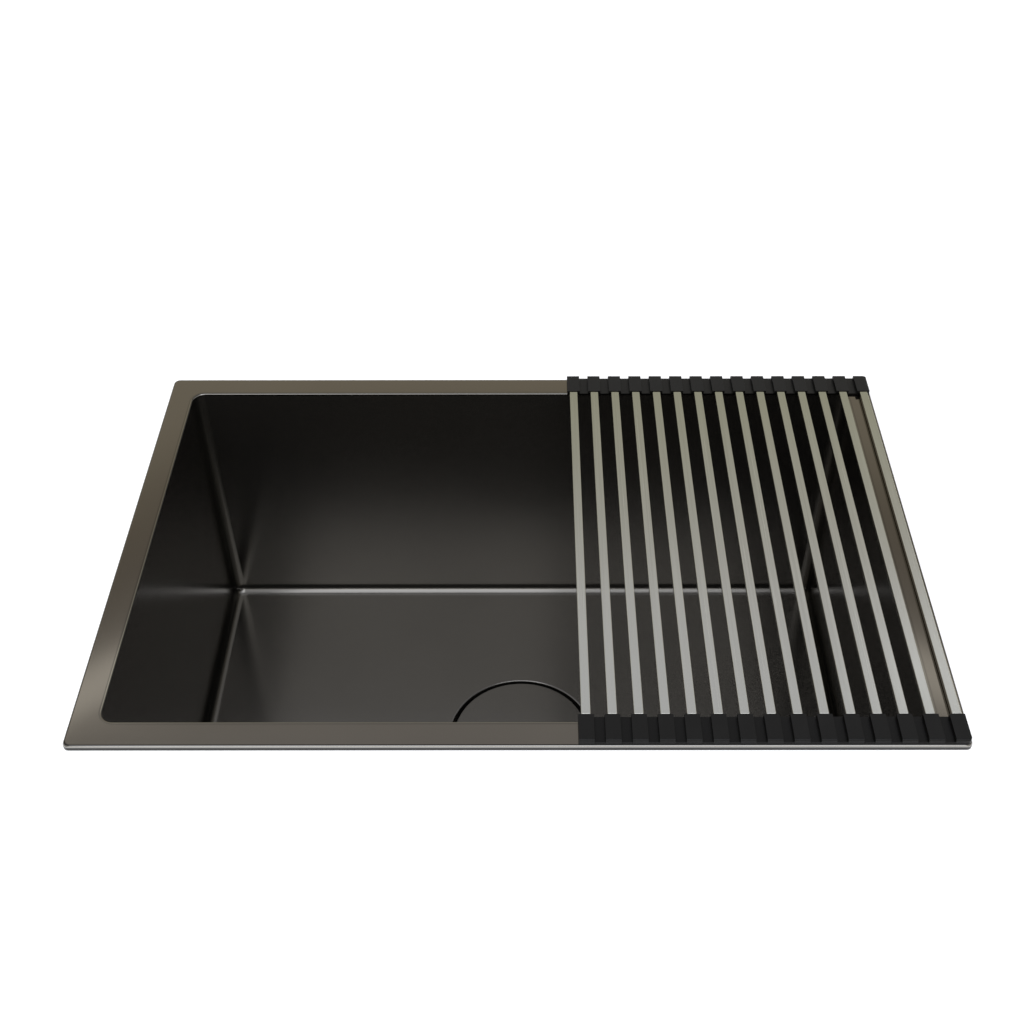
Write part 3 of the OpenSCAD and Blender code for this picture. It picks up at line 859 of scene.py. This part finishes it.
lock_ring = washer("lock_ring", NUT_BORE_R, NUT_R, NUT_LOW, NUT_TOP, 0.9)
lock_nut = ribbed(
    "cast_lock_nut", lock_ring, reach=(49, 58), wide=14, span=(NUT_LOW, NUT_TOP), count=8, soft=1.2
)
fitted(lock_nut, "sink", "cast_nut", "lock_nut")
print("lock nut:", faces_of(lock_nut), "faces")

# %% [markdown]
# ## The tailpiece
# A thin chromed pipe hangs from the spigot. Its flange lies on a washer, and the coupling nut
# pulls it up. The pipe's mouth is rolled a little, so that it doesn't cut the trap's seal.

# %% Turn the tailpiece, its washer and its nut
TAIL_TOP, TAIL_R, TAIL_BORE_R, TAIL_END = -350.0, 19.05, 17.75, -451.6
COUPLING_LOW, COUPLING_TOP, COUPLING_LIP, COUPLING_R = -356.0, -330.0, -352.0, 28.0
SLEEVE_R, LIP_BORE_R, COUPLING_BORE_R = TAIL_R + 0.3, TAIL_R + 0.4, SPIGOT_R + 0.85

tail_seal = washer("tail_gasket", OUTLET_R, SPIGOT_R, TAIL_TOP, SPIGOT_END, 0.4)
fitted(tail_seal, "sink", "white_plastic", "tail_washer")
tail = turned(
    "tail_pipe",
    (TAIL_BORE_R, TAIL_TOP, 0.4),
    (SPIGOT_R, TAIL_TOP, 0.4),
    (SPIGOT_R, COUPLING_LIP, 0.4),
    (SLEEVE_R, COUPLING_LIP),
    (SLEEVE_R, COUPLING_LOW - 1, 0.3),
    (TAIL_R, COUPLING_LOW - 1.4),
    (TAIL_R, TAIL_END, 0.5),
    (TAIL_BORE_R, TAIL_END, 0.5),
)
fitted(tail, "sink", "tail_metal", "tailpiece")
coupling_ring = turned(
    "coupling_ring",
    (COUPLING_R, COUPLING_TOP, 1.2),
    (COUPLING_R, COUPLING_LOW, 1.8),
    (LIP_BORE_R, COUPLING_LOW, 0.5),
    (LIP_BORE_R, COUPLING_LIP, 0.2),
    (COUPLING_BORE_R, COUPLING_LIP, 0.3),
    (COUPLING_BORE_R, COUPLING_TOP, 0.6),
)
ribs = (COUPLING_LOW + 1.5, COUPLING_TOP - 1.5)
coupling = ribbed(
    "coupling_nut_cast", coupling_ring, reach=(25.5, 30), wide=4, span=ribs, count=12, soft=0.9
)
fitted(coupling, "sink", "cast_nut", "coupling_nut")
print("tailpiece:", faces_of(tail), "coupling nut:", faces_of(coupling))

# %% [markdown]
# ## The basket
# The basket is a thin steel cup full of slots. Its outline is spun as a sheet in many narrow
# columns. Every third column is taken out between two heights for the slots, and the holes in
# its bottom are cut at the corners of a ring. The sheet gets its thickness last.

# %% Punch the basket
BASKET_R, BASKET_LIP_R, BASKET_LOW, BASKET_TOP, BASKET_T = 36.0, 40.2, -320.0, -288.0, 0.8
SLOT_LOW, SLOT_TOP, COLUMNS = -314.0, -294.0, 72
HOLE_RING_R, HOLE_R, HOLES_APART, POST_HOLE_R = 28.75, 1.6, 15, 3.1


def in_slot(face):
    """True if a face lies in every third column round the axis, between the slots' ends."""
    place = at(face)
    share = math.atan2(place.y, place.x) / (2 * math.pi) % 1
    return int(share * COLUMNS) % 3 == 0 and SLOT_LOW < place.z < SLOT_TOP


def hole_middle(corner):
    """True if a corner of the bottom is the middle of a hole."""
    place = at(corner)
    angle = round(math.degrees(math.atan2(corner.co.y, corner.co.x)))
    on_ring = abs(math.hypot(*place.xy) - HOLE_RING_R) < 0.05 and angle % HOLES_APART == 0
    return on_ring and abs(place.z - BASKET_LOW) < 0.05


basket = turned(
    "punched_basket",
    (POST_HOLE_R, BASKET_LOW),
    (HOLE_RING_R - 4, BASKET_LOW),
    (HOLE_RING_R, BASKET_LOW),
    (BASKET_R, BASKET_LOW, 2.5),
    (BASKET_R, SLOT_LOW),
    (BASKET_R, SLOT_TOP),
    (BASKET_R, BASKET_TOP - BASKET_T, 1.2),
    (BASKET_LIP_R, BASKET_TOP - BASKET_T),
    closed=False,
    steps=COLUMNS,
)
with shaping(basket):
    pick(basket, "FACE", in_slot)
    bpy.ops.mesh.delete(type="FACE")
    pick(basket, "VERT", hole_middle)
    bpy.ops.mesh.bevel(offset=mm(HOLE_R), segments=4, affect="VERTICES", clamp_overlap=False)
    bpy.ops.mesh.delete(type="FACE")
turn_up(basket, BASKET_LOW)
apply(basket, "SOLIDIFY", thickness=mm(BASKET_T), offset=1, use_even_offset=True)
fitted(basket, "basket", "basket_steel", "basket_cup")
print("basket:", faces_of(basket), "faces")

# %% [markdown]
# A rubber stopper under the basket closes the outlet when the basket is turned down. The post
# through both has a round knob to lift it by, and is turned in one piece.

# %% Turn the stopper and the post
STOPPER_R, POST_R, KNOB_R, COLLAR_R, POST_FOOT_R = 21.5, 3, 8, 5, 6
KNOB_TOP, KNOB_LOW, COLLAR_TOP, COLLAR_LOW, POST_END = -279, -284, -317.2, -319.2, -326

stopper = turned(
    "rubber_stopper",
    (POST_HOLE_R, BASKET_LOW),
    (STOPPER_R, BASKET_LOW, 1.2),
    (STOPPER_R - 1, CUP_FLOOR, 0.8),
    (POST_HOLE_R, CUP_FLOOR),
)
post = turned(
    "lifting_post",
    (0, KNOB_TOP),
    (KNOB_R, KNOB_TOP, 2.2),
    (KNOB_R, KNOB_LOW, 1.4),
    (POST_R, KNOB_LOW, 0.8),
    (POST_R, COLLAR_TOP),
    (COLLAR_R, COLLAR_TOP, 0.3),
    (COLLAR_R, COLLAR_LOW, 0.3),
    (POST_R, COLLAR_LOW),
    (POST_R, CUP_FLOOR),
    (POST_FOOT_R, CUP_FLOOR, 0.3),
    (POST_FOOT_R, POST_END, 0.8),
    (0, POST_END),
    closed=False,
    steps=64,
)
fitted(stopper, "basket", "seal_rubber", "basket_stopper")
fitted(post, "basket", "basket_steel", "basket_post")
print("stopper and post:", faces_of(stopper, post), "faces")

# %% [markdown]
# ## Underneath
# A strip of foam seals the rim to the worktop, and thick rubber pads glued to the walls and
# floor keep the thin steel quiet. Foam is cut from sheet, so its edges stay sharp. The pads are
# pressed, with soft edges all round.

# %% Cut the foam and press the pads
FOAM_LONG, FOAM_DEEP, FOAM_WIDE, FOAM_CORNER, FOAM_T = 680.8, 452.2, 9.0, 2.5, 3.5
foam_outer, foam_inner = (
    (FOAM_LONG - inward, FOAM_DEEP - inward, FOAM_CORNER) for inward in (0, 2 * FOAM_WIDE)
)
foam = frame_between("foam_seal", foam_outer, foam_inner, height=FOAM_T)
apply(foam, "SOLIDIFY", thickness=mm(FOAM_T), offset=-1)
fitted(foam, "sink", "foam", "rim_seal")

PAD_T, PAD_LOW, PAD_TOP, PAD_CORNER, PAD_SOFT = 3.0, -244.0, -64.0, 8.0, 0.9
PAD_LONG, PAD_DEEP, PAD_INNER, PAD_FAR, UNDER = 274.2, 159.9, 87.0, 292.2, FLOOR - SHEET


def pad(place, low, high, thin_axis):
    """A pressed rubber pad with round corners and soft edges."""
    piece = block(f"sound_pad_{place}", low, high)
    soften(piece, PAD_CORNER, 6, lambda edge: runs(edge, thin_axis))
    soften(piece, PAD_SOFT, 3, lambda edge: not runs(edge, thin_axis))
    fitted(piece, "sink", "sound_rubber", f"pad_{place}")


# A pad, its twin half a turn on, the axis that both are thin along, and the first one's corners.
wall, floor = (PAD_LOW, PAD_TOP), (UNDER - PAD_T, UNDER)
for place, twin, thin_axis, (near_x, far_x), (near_y, far_y), (low, high) in (
    ("back", "front", 1, (-PAD_LONG, PAD_LONG), (WALL_Y, WALL_Y + PAD_T), wall),
    ("right", "left", 0, (WALL_X, WALL_X + PAD_T), (-PAD_DEEP, PAD_DEEP), wall),
    ("floor_right", "floor_left", 2, (PAD_INNER, PAD_FAR), (-PAD_DEEP, PAD_DEEP), floor),
):
    pad(place, (near_x, near_y, low), (far_x, far_y, high), thin_axis)
    pad(twin, (-far_x, -far_y, low), (-near_x, -near_y, high), thin_axis)
print("foam and 6 pads")

# %% [markdown]
# The rails, the clip arms and their screws are bent or cut steel with many small corners. Their
# CAD meshes have the right shape but knife-sharp edges. A copy of each is cleaned up, so that
# flats are one face again, and its edges are then rounded a little.


# %% Dress the clips and their screws
def dressed(node, name, slot, round_by):
    """A copy of a CAD piece with clean flats and rounded edges."""
    source = bpy.data.objects[node]
    only(source)
    bpy.ops.object.duplicate(linked=False)
    piece = bpy.context.object
    piece.name = piece.data.name = name
    for key in [key for key in piece.keys() if key.startswith("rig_")]:
        del piece[key]
    with shaping(piece):
        every()
        bpy.ops.mesh.remove_doubles(threshold=mm(0.001))
        bpy.ops.mesh.dissolve_limited(angle_limit=math.radians(1))
        bpy.ops.mesh.normals_make_consistent(inside=False)
    sharp = {"limit_method": "ANGLE", "angle_limit": math.radians(40)}
    apply(piece, "BEVEL", width=mm(round_by), segments=2, use_clamp_overlap=True, **sharp)
    return fitted(piece, "sink", slot, node)


for node, name, slot, round_by in (
    ("clip_rails", "bent_rails", "clip_steel", 0.3),
    ("clip_arms", "bent_arms", "clip_steel", 0.25),
    ("clip_screws", "cut_screws", "screw_steel", 0.25),
):
    piece = dressed(node, name, slot, round_by)
    print(name, faces_of(piece), "faces")

# %% [markdown]
# ## Finishes
# A finish is a material whose colour, roughness and bumps are reckoned from the place on the
# piece. Written as nodes, a sum such as 0.3 + 0.1 * grain takes three nodes and five lines. The
# class `Wire` wraps the output of a node, so that the sum can be written as a sum. Plain numbers
# stay numbers until they meet a wire.


# %% Reckon with sockets
class Wire:
    """The output of a node. Sums and products of wires add Math nodes."""

    def __init__(self, finish, socket):
        self.finish, self.socket = finish, socket

    def math(self, operation, *values):
        return self.finish.node("Math", dict(enumerate(values)), operation=operation)

    def __add__(self, other):
        return self.math("ADD", self, other)

    def __mul__(self, other):
        return self.math("MULTIPLY", self, other)

    def __sub__(self, other):
        return self.math("SUBTRACT", self, other)

    def __rsub__(self, other):
        return self.math("SUBTRACT", other, self)

    __radd__ = __add__
    __rmul__ = __mul__


print("wires ready")

# %% [markdown]
# `Finish` is a material with its shader. Its `node` adds a node with values or wires for its
# sockets, then its settings, and gives back the output in use. The other methods are the few
# patterns that metal, rubber and foam need. All of them read Object coordinates, so a pattern
# stays on its piece when it moves.


# %% Mix a finish
class Finish:
    """A material with a Principled shader, and the nodes that feed it."""

    def __init__(self, name, **constants):
        self.material = bpy.data.materials.new(name)
        self.material.use_nodes = True
        self.nodes = self.material.node_tree.nodes
        self.links = self.material.node_tree.links
        self.shader = self.nodes["Principled BSDF"]
        for socket, value in constants.items():
            self.feed(socket.replace("_", " ").title().replace("Ior", "IOR"), value)
        self.place = self.node("TexCoord", {}, "Object")

    def node(self, kind, values, output=None, **settings):
        made = self.nodes.new("ShaderNode" + kind)
        for setting, value in settings.items():
            setattr(made, setting, value)
        inputs = [socket for socket in made.inputs if socket.enabled]
        for key, value in values.items():
            socket = inputs[key] if isinstance(key, int) else made.inputs[key]
            self.give(socket, value)
        outputs = [socket for socket in made.outputs if socket.enabled]
        return Wire(self, made.outputs[output] if output else outputs[0])

    def give(self, socket, value):
        if isinstance(value, Wire):
            self.links.new(value.socket, socket)
        elif socket.type == "RGBA" and len(value) == 3:
            socket.default_value = (*value, 1)
        else:
            socket.default_value = value

    def feed(self, socket, value):
        """Give the shader's socket a constant or a wire."""
        self.give(self.shader.inputs[socket], value)

    def stretched(self, *scale):
        """The place on the piece, with each axis scaled: a high scale makes fine grain."""
        return self.node("Mapping", {"Vector": self.place, "Scale": scale})

    def noise(self, scale=1, detail=3, rough=0.5, place=None):
        values = {"Vector": place or self.place, "Scale": scale}
        return self.node("TexNoise", {**values, "Detail": detail, "Roughness": rough})

    def cells(self, scale, output="Distance"):
        return self.node("TexVoronoi", {"Vector": self.place, "Scale": scale}, output)

    def spread(self, wire, low, high):
        """From 0 to 1 as the wire goes from low to high, and no further."""
        return self.node("MapRange", {0: wire, 1: low, 2: high})

    def between(self, wire, low, high):
        """The same for a length, with low and high in millimetres."""
        return self.spread(wire, mm(low), mm(high))

    def mix(self, factor, dark, light):
        """From one colour to another as factor goes from 0 to 1."""
        return self.node("Mix", {0: factor, 1: dark, 2: light}, data_type="RGBA")

    def axes(self, wire):
        """A vector's three numbers."""
        split = self.node("SeparateXYZ", {0: wire}).socket.node
        return [Wire(self, split.outputs[axis]) for axis in "XYZ"]

    def colour(self, wire, low, high, dark, light):
        """Go from the dark to the light colour as the wire goes from low to high."""
        self.feed("Base Color", self.mix(self.spread(wire, low, high), dark, light))

    def bump(self, height, depth):
        """Raise and sink the surface by up to depth millimetres."""
        values = {"Strength": 1.0, "Distance": mm(depth), "Height": height}
        self.feed("Normal", self.node("Bump", values))

    def lay_on(self, slot):
        """Put the finish on every piece that waits for this slot."""
        pieces = bare.pop(slot)
        for piece in pieces:
            piece.data.materials.clear()
            piece.data.materials.append(self.material)
        print(self.material.name, "on", len(pieces), "pieces")


def toned(colour, share):
    """The same colour, this many times as bright."""
    return [share * value for value in colour]


print("finishes ready")

# %% [markdown]
# ## Dark metal
# The sink's steel is brushed, then coated in a thin, warm, dark layer. The coat takes most of
# the grain away: what is left is a satin mirror with a faint lengthwise grain, and here and
# there a smudge. Grain is noise that is stretched a hundred times along the brush's way. The
# brush ran level: along x on the rim, the floor and the back wall, along y on the side walls,
# whose colour is painted darker as painted shade. The rim's inner fold has a painted highlight,
# with painted shade in the crease beside it. Its outer fold has a painted highlight under a band
# of painted shade on its shoulder, and painted shade again at its foot.


# %% Coat the sink
def from_mouth(finish):
    """How far a point lies outside the bowl's mouth, seen from above."""
    wire = finish.place
    for operation, *other in (
        ("ABSOLUTE",),
        ("SUBTRACT", mm(BOWL_LONG / 2 - BOWL_CORNER, BOWL_DEEP / 2 - BOWL_CORNER, 0)),
        ("MULTIPLY", (1, 1, 0)),
        ("MAXIMUM", (0, 0, 0)),
    ):
        wire = finish.node("VectorMath", dict(enumerate((wire, *other))), operation=operation)
    return finish.node("VectorMath", {0: wire}, "Value", operation="LENGTH") - mm(BOWL_CORNER)


# Painted light on the rim's folds: a painted highlight on the inner fold, painted shade in the
# crease beside it, painted shade on the outer fold's shoulder and at its foot, and a painted
# highlight on the outer fold between them.
INNER_FOLD_PAINTED_HIGHLIGHT, CREASE_PAINTED_SHADE, SHOULDER = (0.21, 0.20, 0.155), (0.03, 0.027, 0.023), (0.012, 0.011, 0.010)
FOLD_FOOT_PAINTED_SHADE, OUTER_FOLD_PAINTED_HIGHLIGHT = (0.065, 0.064, 0.062), (0.36, 0.355, 0.345)


def with_painted_fold_light(finish, coat):
    """The rim's coat with painted highlights and painted shade on its folds, by distance from the
    mouth and by height.
    """
    height, outward = finish.axes(finish.place)[2], from_mouth(finish)
    coat = finish.mix(finish.between(outward, 0.8, 1.6), INNER_FOLD_PAINTED_HIGHLIGHT, coat)
    painted_crease_shade = finish.between(outward, 1.6, 2.3) - finish.between(outward, 2.3, 3.0)
    coat = finish.mix(painted_crease_shade * 0.5, coat, CREASE_PAINTED_SHADE)
    # Painted shade: a dark band on the outer fold's shoulder, just under the rim's top.
    coat = finish.mix(finish.between(height, 4.86, 4.97), SHOULDER, coat)
    painted_outer_fold = finish.mix(finish.between(height, 2.7, 3.5), FOLD_FOOT_PAINTED_SHADE, OUTER_FOLD_PAINTED_HIGHLIGHT)
    return finish.mix(finish.between(height, 4.2, 4.75), painted_outer_fold, coat)


GRAIN_LONG, GRAIN_FINE, GRAIN_DEPTH, SIDE_WALL_PAINTED_SHADE = 12, 1400, 0.0008, 0.62


def coated(name, colour, rough, metal=0.95, painted_fold_light=False):
    finish = Finish(name, metallic=metal)
    grain, cross = (
        finish.noise(place=finish.stretched(*scale, GRAIN_FINE), detail=4, rough=0.6)
        for scale in ((GRAIN_LONG, GRAIN_FINE), (GRAIN_FINE, GRAIN_LONG))
    )
    clouds = finish.noise(9)
    fine = finish.noise(900, detail=2)
    lean = finish.node("NewGeometry", {}, "Normal")
    lean = finish.node("VectorMath", {0: lean}, operation="ABSOLUTE")
    sideways = finish.spread(finish.axes(lean)[0], 0.6, 0.8)
    brushed = grain * (1 - sideways) + cross * sideways
    shade = finish.spread(brushed * 0.4 + clouds * 0.6, 0.3, 0.7)
    coat = finish.mix(shade, toned(colour, 0.95), toned(colour, 1.05))
    # The rim's folds get painted highlights and painted shade.
    if painted_fold_light:
        coat = with_painted_fold_light(finish, coat)
    else:
        # Painted shade: the side walls' colour is darkened by this share.
        coat = finish.mix(sideways, coat, toned(colour, SIDE_WALL_PAINTED_SHADE))
    finish.feed("Base Color", coat)
    finish.feed("Roughness", rough + (clouds - 0.5) * 0.03 + (brushed - 0.5) * 0.06)
    finish.bump(brushed * 0.7 + fine * 0.3, GRAIN_DEPTH)
    return finish


DARK_WARM, DARK = (0.120, 0.105, 0.083), (0.154, 0.147, 0.135)
coated("dark_rim", DARK_WARM, 0.11, metal=1.0, painted_fold_light=True).lay_on("gunmetal_rim")
coated("dark_bowl", DARK, 0.20).lay_on("gunmetal_bowl")
coated("dark_cover", DARK, 0.20).lay_on("gunmetal_cover")

# %% [markdown]
# ## Bright metal
# The bars are drawn through a die, which leaves fine lines along them. Their colour has a painted
# reflection along each bar: painted lighter and less green towards the front, darker and greener
# towards the back. The strainer and the basket are turned and pressed, and the grain runs round
# them: it is noise on the distance from the axis. The clips are zinc plated, which leaves a
# pattern of dull and bright crystals.


# %% Draw the bars
# Painted reflection: the front tone is lighter, and the back tone is darker and greener.
BAR_FRONT_PAINTED_LIGHT, BAR_BACK_PAINTED_SHADE = (0.440, 0.435, 0.398), (0.278, 0.280, 0.216)
bar_steel = Finish("drawn_steel", metallic=1.0)
lines = bar_steel.noise(place=bar_steel.stretched(900, 5, 900), rough=0.6)
patches = bar_steel.noise(place=bar_steel.stretched(60, 14, 60), detail=2)
# The painted reflection fades from the front tone to the back tone along each bar.
painted_light_to_back = bar_steel.between(bar_steel.axes(bar_steel.place)[1], -80, 215)
dull, bright = (
    bar_steel.mix(painted_light_to_back, toned(BAR_FRONT_PAINTED_LIGHT, share), toned(BAR_BACK_PAINTED_SHADE, share))
    for share in (0.95, 1.05)
)
bar_steel.colour(lines, 0.3, 0.7, dull, bright)
bar_steel.feed("Roughness", 0.24 + (lines - 0.5) * 0.16 + (patches - 0.5) * 0.06)
bar_steel.bump(lines, 0.004)
bar_steel.lay_on("bar_steel")


# %% Turn the strainer's steel
RINGS_FINE = 2200


def turned_steel(name, colour, rough, ring_depth):
    finish = Finish(name, metallic=1.0)
    x, y, z = finish.axes(finish.place)
    radius = x.math("SQRT", x * x + y * y)
    where = finish.node("CombineXYZ", {0: radius * RINGS_FINE, 1: z * RINGS_FINE})
    rings = finish.noise(place=where, rough=0.6)
    clouds = finish.noise(25)
    finish.colour(rings, 0.3, 0.7, toned(colour, 0.93), colour)
    finish.feed("Roughness", rough + (rings - 0.5) * 0.12 + (clouds - 0.5) * 0.10)
    finish.bump(rings, ring_depth)
    return finish


turned_steel("strainer_metal", (0.50, 0.49, 0.47), 0.28, 0.006).lay_on("strainer_steel")
turned_steel("basket_metal", (0.56, 0.55, 0.53), 0.20, 0.004).lay_on("basket_steel")
turned_steel("tail_chrome", (0.62, 0.62, 0.63), 0.10, 0.002).lay_on("tail_metal")


# %% Plate the clips and cast the nuts
def zinc(name, colour, rough, crystal):
    finish = Finish(name, metallic=1.0)
    facets = finish.axes(finish.cells(crystal, output="Color"))[0]
    dust = finish.noise(600)
    finish.colour(facets, 0, 1, toned(colour, 0.86), colour)
    finish.feed("Roughness", rough + (facets - 0.5) * 0.14 + (dust - 0.5) * 0.12)
    finish.bump(dust, 0.01)
    return finish


zinc("zinc_plate", (0.52, 0.53, 0.54), 0.38, 260).lay_on("clip_steel")
zinc("screw_plate", (0.62, 0.60, 0.55), 0.28, 420).lay_on("screw_steel")
cast = Finish("cast_zinc", metallic=1.0)
sand = cast.noise(420, detail=4, rough=0.7)
stain = cast.noise(30)
cast.feed("Base Color", cast.mix(stain, (0.30, 0.30, 0.295), (0.40, 0.40, 0.39)))
cast.feed("Roughness", 0.46 + (sand - 0.5) * 0.2)
cast.bump(sand, 0.05)
cast.lay_on("cast_nut")

# %% [markdown]
# ## Rubber, foam and fibre
# Silicone is smooth and black. Its block tops are painted paler than its webs, as painted light,
# and the lower webs are left dark as painted shade. Pressed rubber has a dull skin with fine pits,
# foam shows its cut cells, and the slip ring is pressed paper with short fibres.


# %% Mould rubber and silicone
def moulded(name, colour, rough, pit_scale, pit_depth, dust, sheen=0.5, painted_light_above=None):
    """Dull moulded stuff: fine pits and pale dust in patches. Given a height, that pale tone is
    painted light above it, with painted shade below.
    """
    finish = Finish(name, specular_ior_level=sheen)
    pits = finish.noise(pit_scale)
    patches = finish.noise(35, detail=4, rough=0.6)
    powder_and_painted_light = finish.spread(patches, 0.45, 0.75)
    if painted_light_above:
        height = finish.axes(finish.place)[2]
        # Given a height, the pale tone is painted light on what lies above it, and what lies below
        # keeps painted shade.
        powder_and_painted_light = finish.between(height, painted_light_above, painted_light_above + 1.0) * (0.6 + powder_and_painted_light * 0.4)
    # On most rubber this pale tone is dust. On the silicone's block tops it is painted light.
    finish.feed("Base Color", finish.mix(powder_and_painted_light, colour, [value + dust for value in colour]))
    finish.feed("Roughness", rough + (pits - 0.5) * 0.2 + powder_and_painted_light * 0.08)
    finish.bump(pits, pit_depth)
    return finish


SILICONE, BLOCK_PAINTED_LIGHT_ABOVE = (0.0004, 0.0003, 0.0002), 7.4
# The silicone's pale dust tone is painted light on the block tops only, and the lower webs are
# left dark as painted shade.
silicone = moulded(
    "black_silicone", SILICONE, 0.40, 700, 0.004, dust=0.0055, sheen=0.18, painted_light_above=BLOCK_PAINTED_LIGHT_ABOVE
)
silicone.lay_on("silicone")
moulded("pressed_rubber", (0.022, 0.022, 0.023), 0.72, 500, 0.03, 0.015).lay_on("sound_rubber")
moulded("seal_black", (0.012, 0.012, 0.012), 0.55, 800, 0.01, 0.008).lay_on("seal_rubber")
moulded("white_washer", (0.68, 0.66, 0.60), 0.40, 600, 0.008, 0.02).lay_on("white_plastic")

foam_finish = Finish("closed_foam")
cut_cells = foam_finish.cells(900)
foam_finish.colour(cut_cells, 0.1, 0.6, (0.035, 0.035, 0.04), (0.012, 0.012, 0.014))
foam_finish.feed("Roughness", 0.9 + (cut_cells - 0.5) * 0.1)
foam_finish.bump(1 - cut_cells, 0.15)
foam_finish.lay_on("foam")

paper = Finish("slip_paper")
fibres = paper.noise(place=paper.stretched(900, 250, 900), detail=4, rough=0.7)
paper.colour(fibres, 0.3, 0.7, (0.42, 0.36, 0.26), (0.58, 0.52, 0.42))
paper.feed("Roughness", 0.82 + (fibres - 0.5) * 0.2)
paper.bump(fibres, 0.03)
paper.lay_on("fibre")

# %% [markdown]
# The worktop is stage: plain, matt and so pale that it comes out white, as round the sink in
# the photo. A touch of glow keeps it even where the rack and the rim shade it.

# %% Paint the worktop
pale = Finish("pale_top", roughness=0.9, emission_strength=0.35)
speckle = pale.noise(4, detail=2)
pale.feed("Base Color", pale.mix(speckle, (0.88, 0.88, 0.88), (0.90, 0.90, 0.90)))
pale.feed("Emission Color", (1.0, 1.0, 1.0))
worktop.data.materials.append(pale.material)
print("still bare:", list(bare))
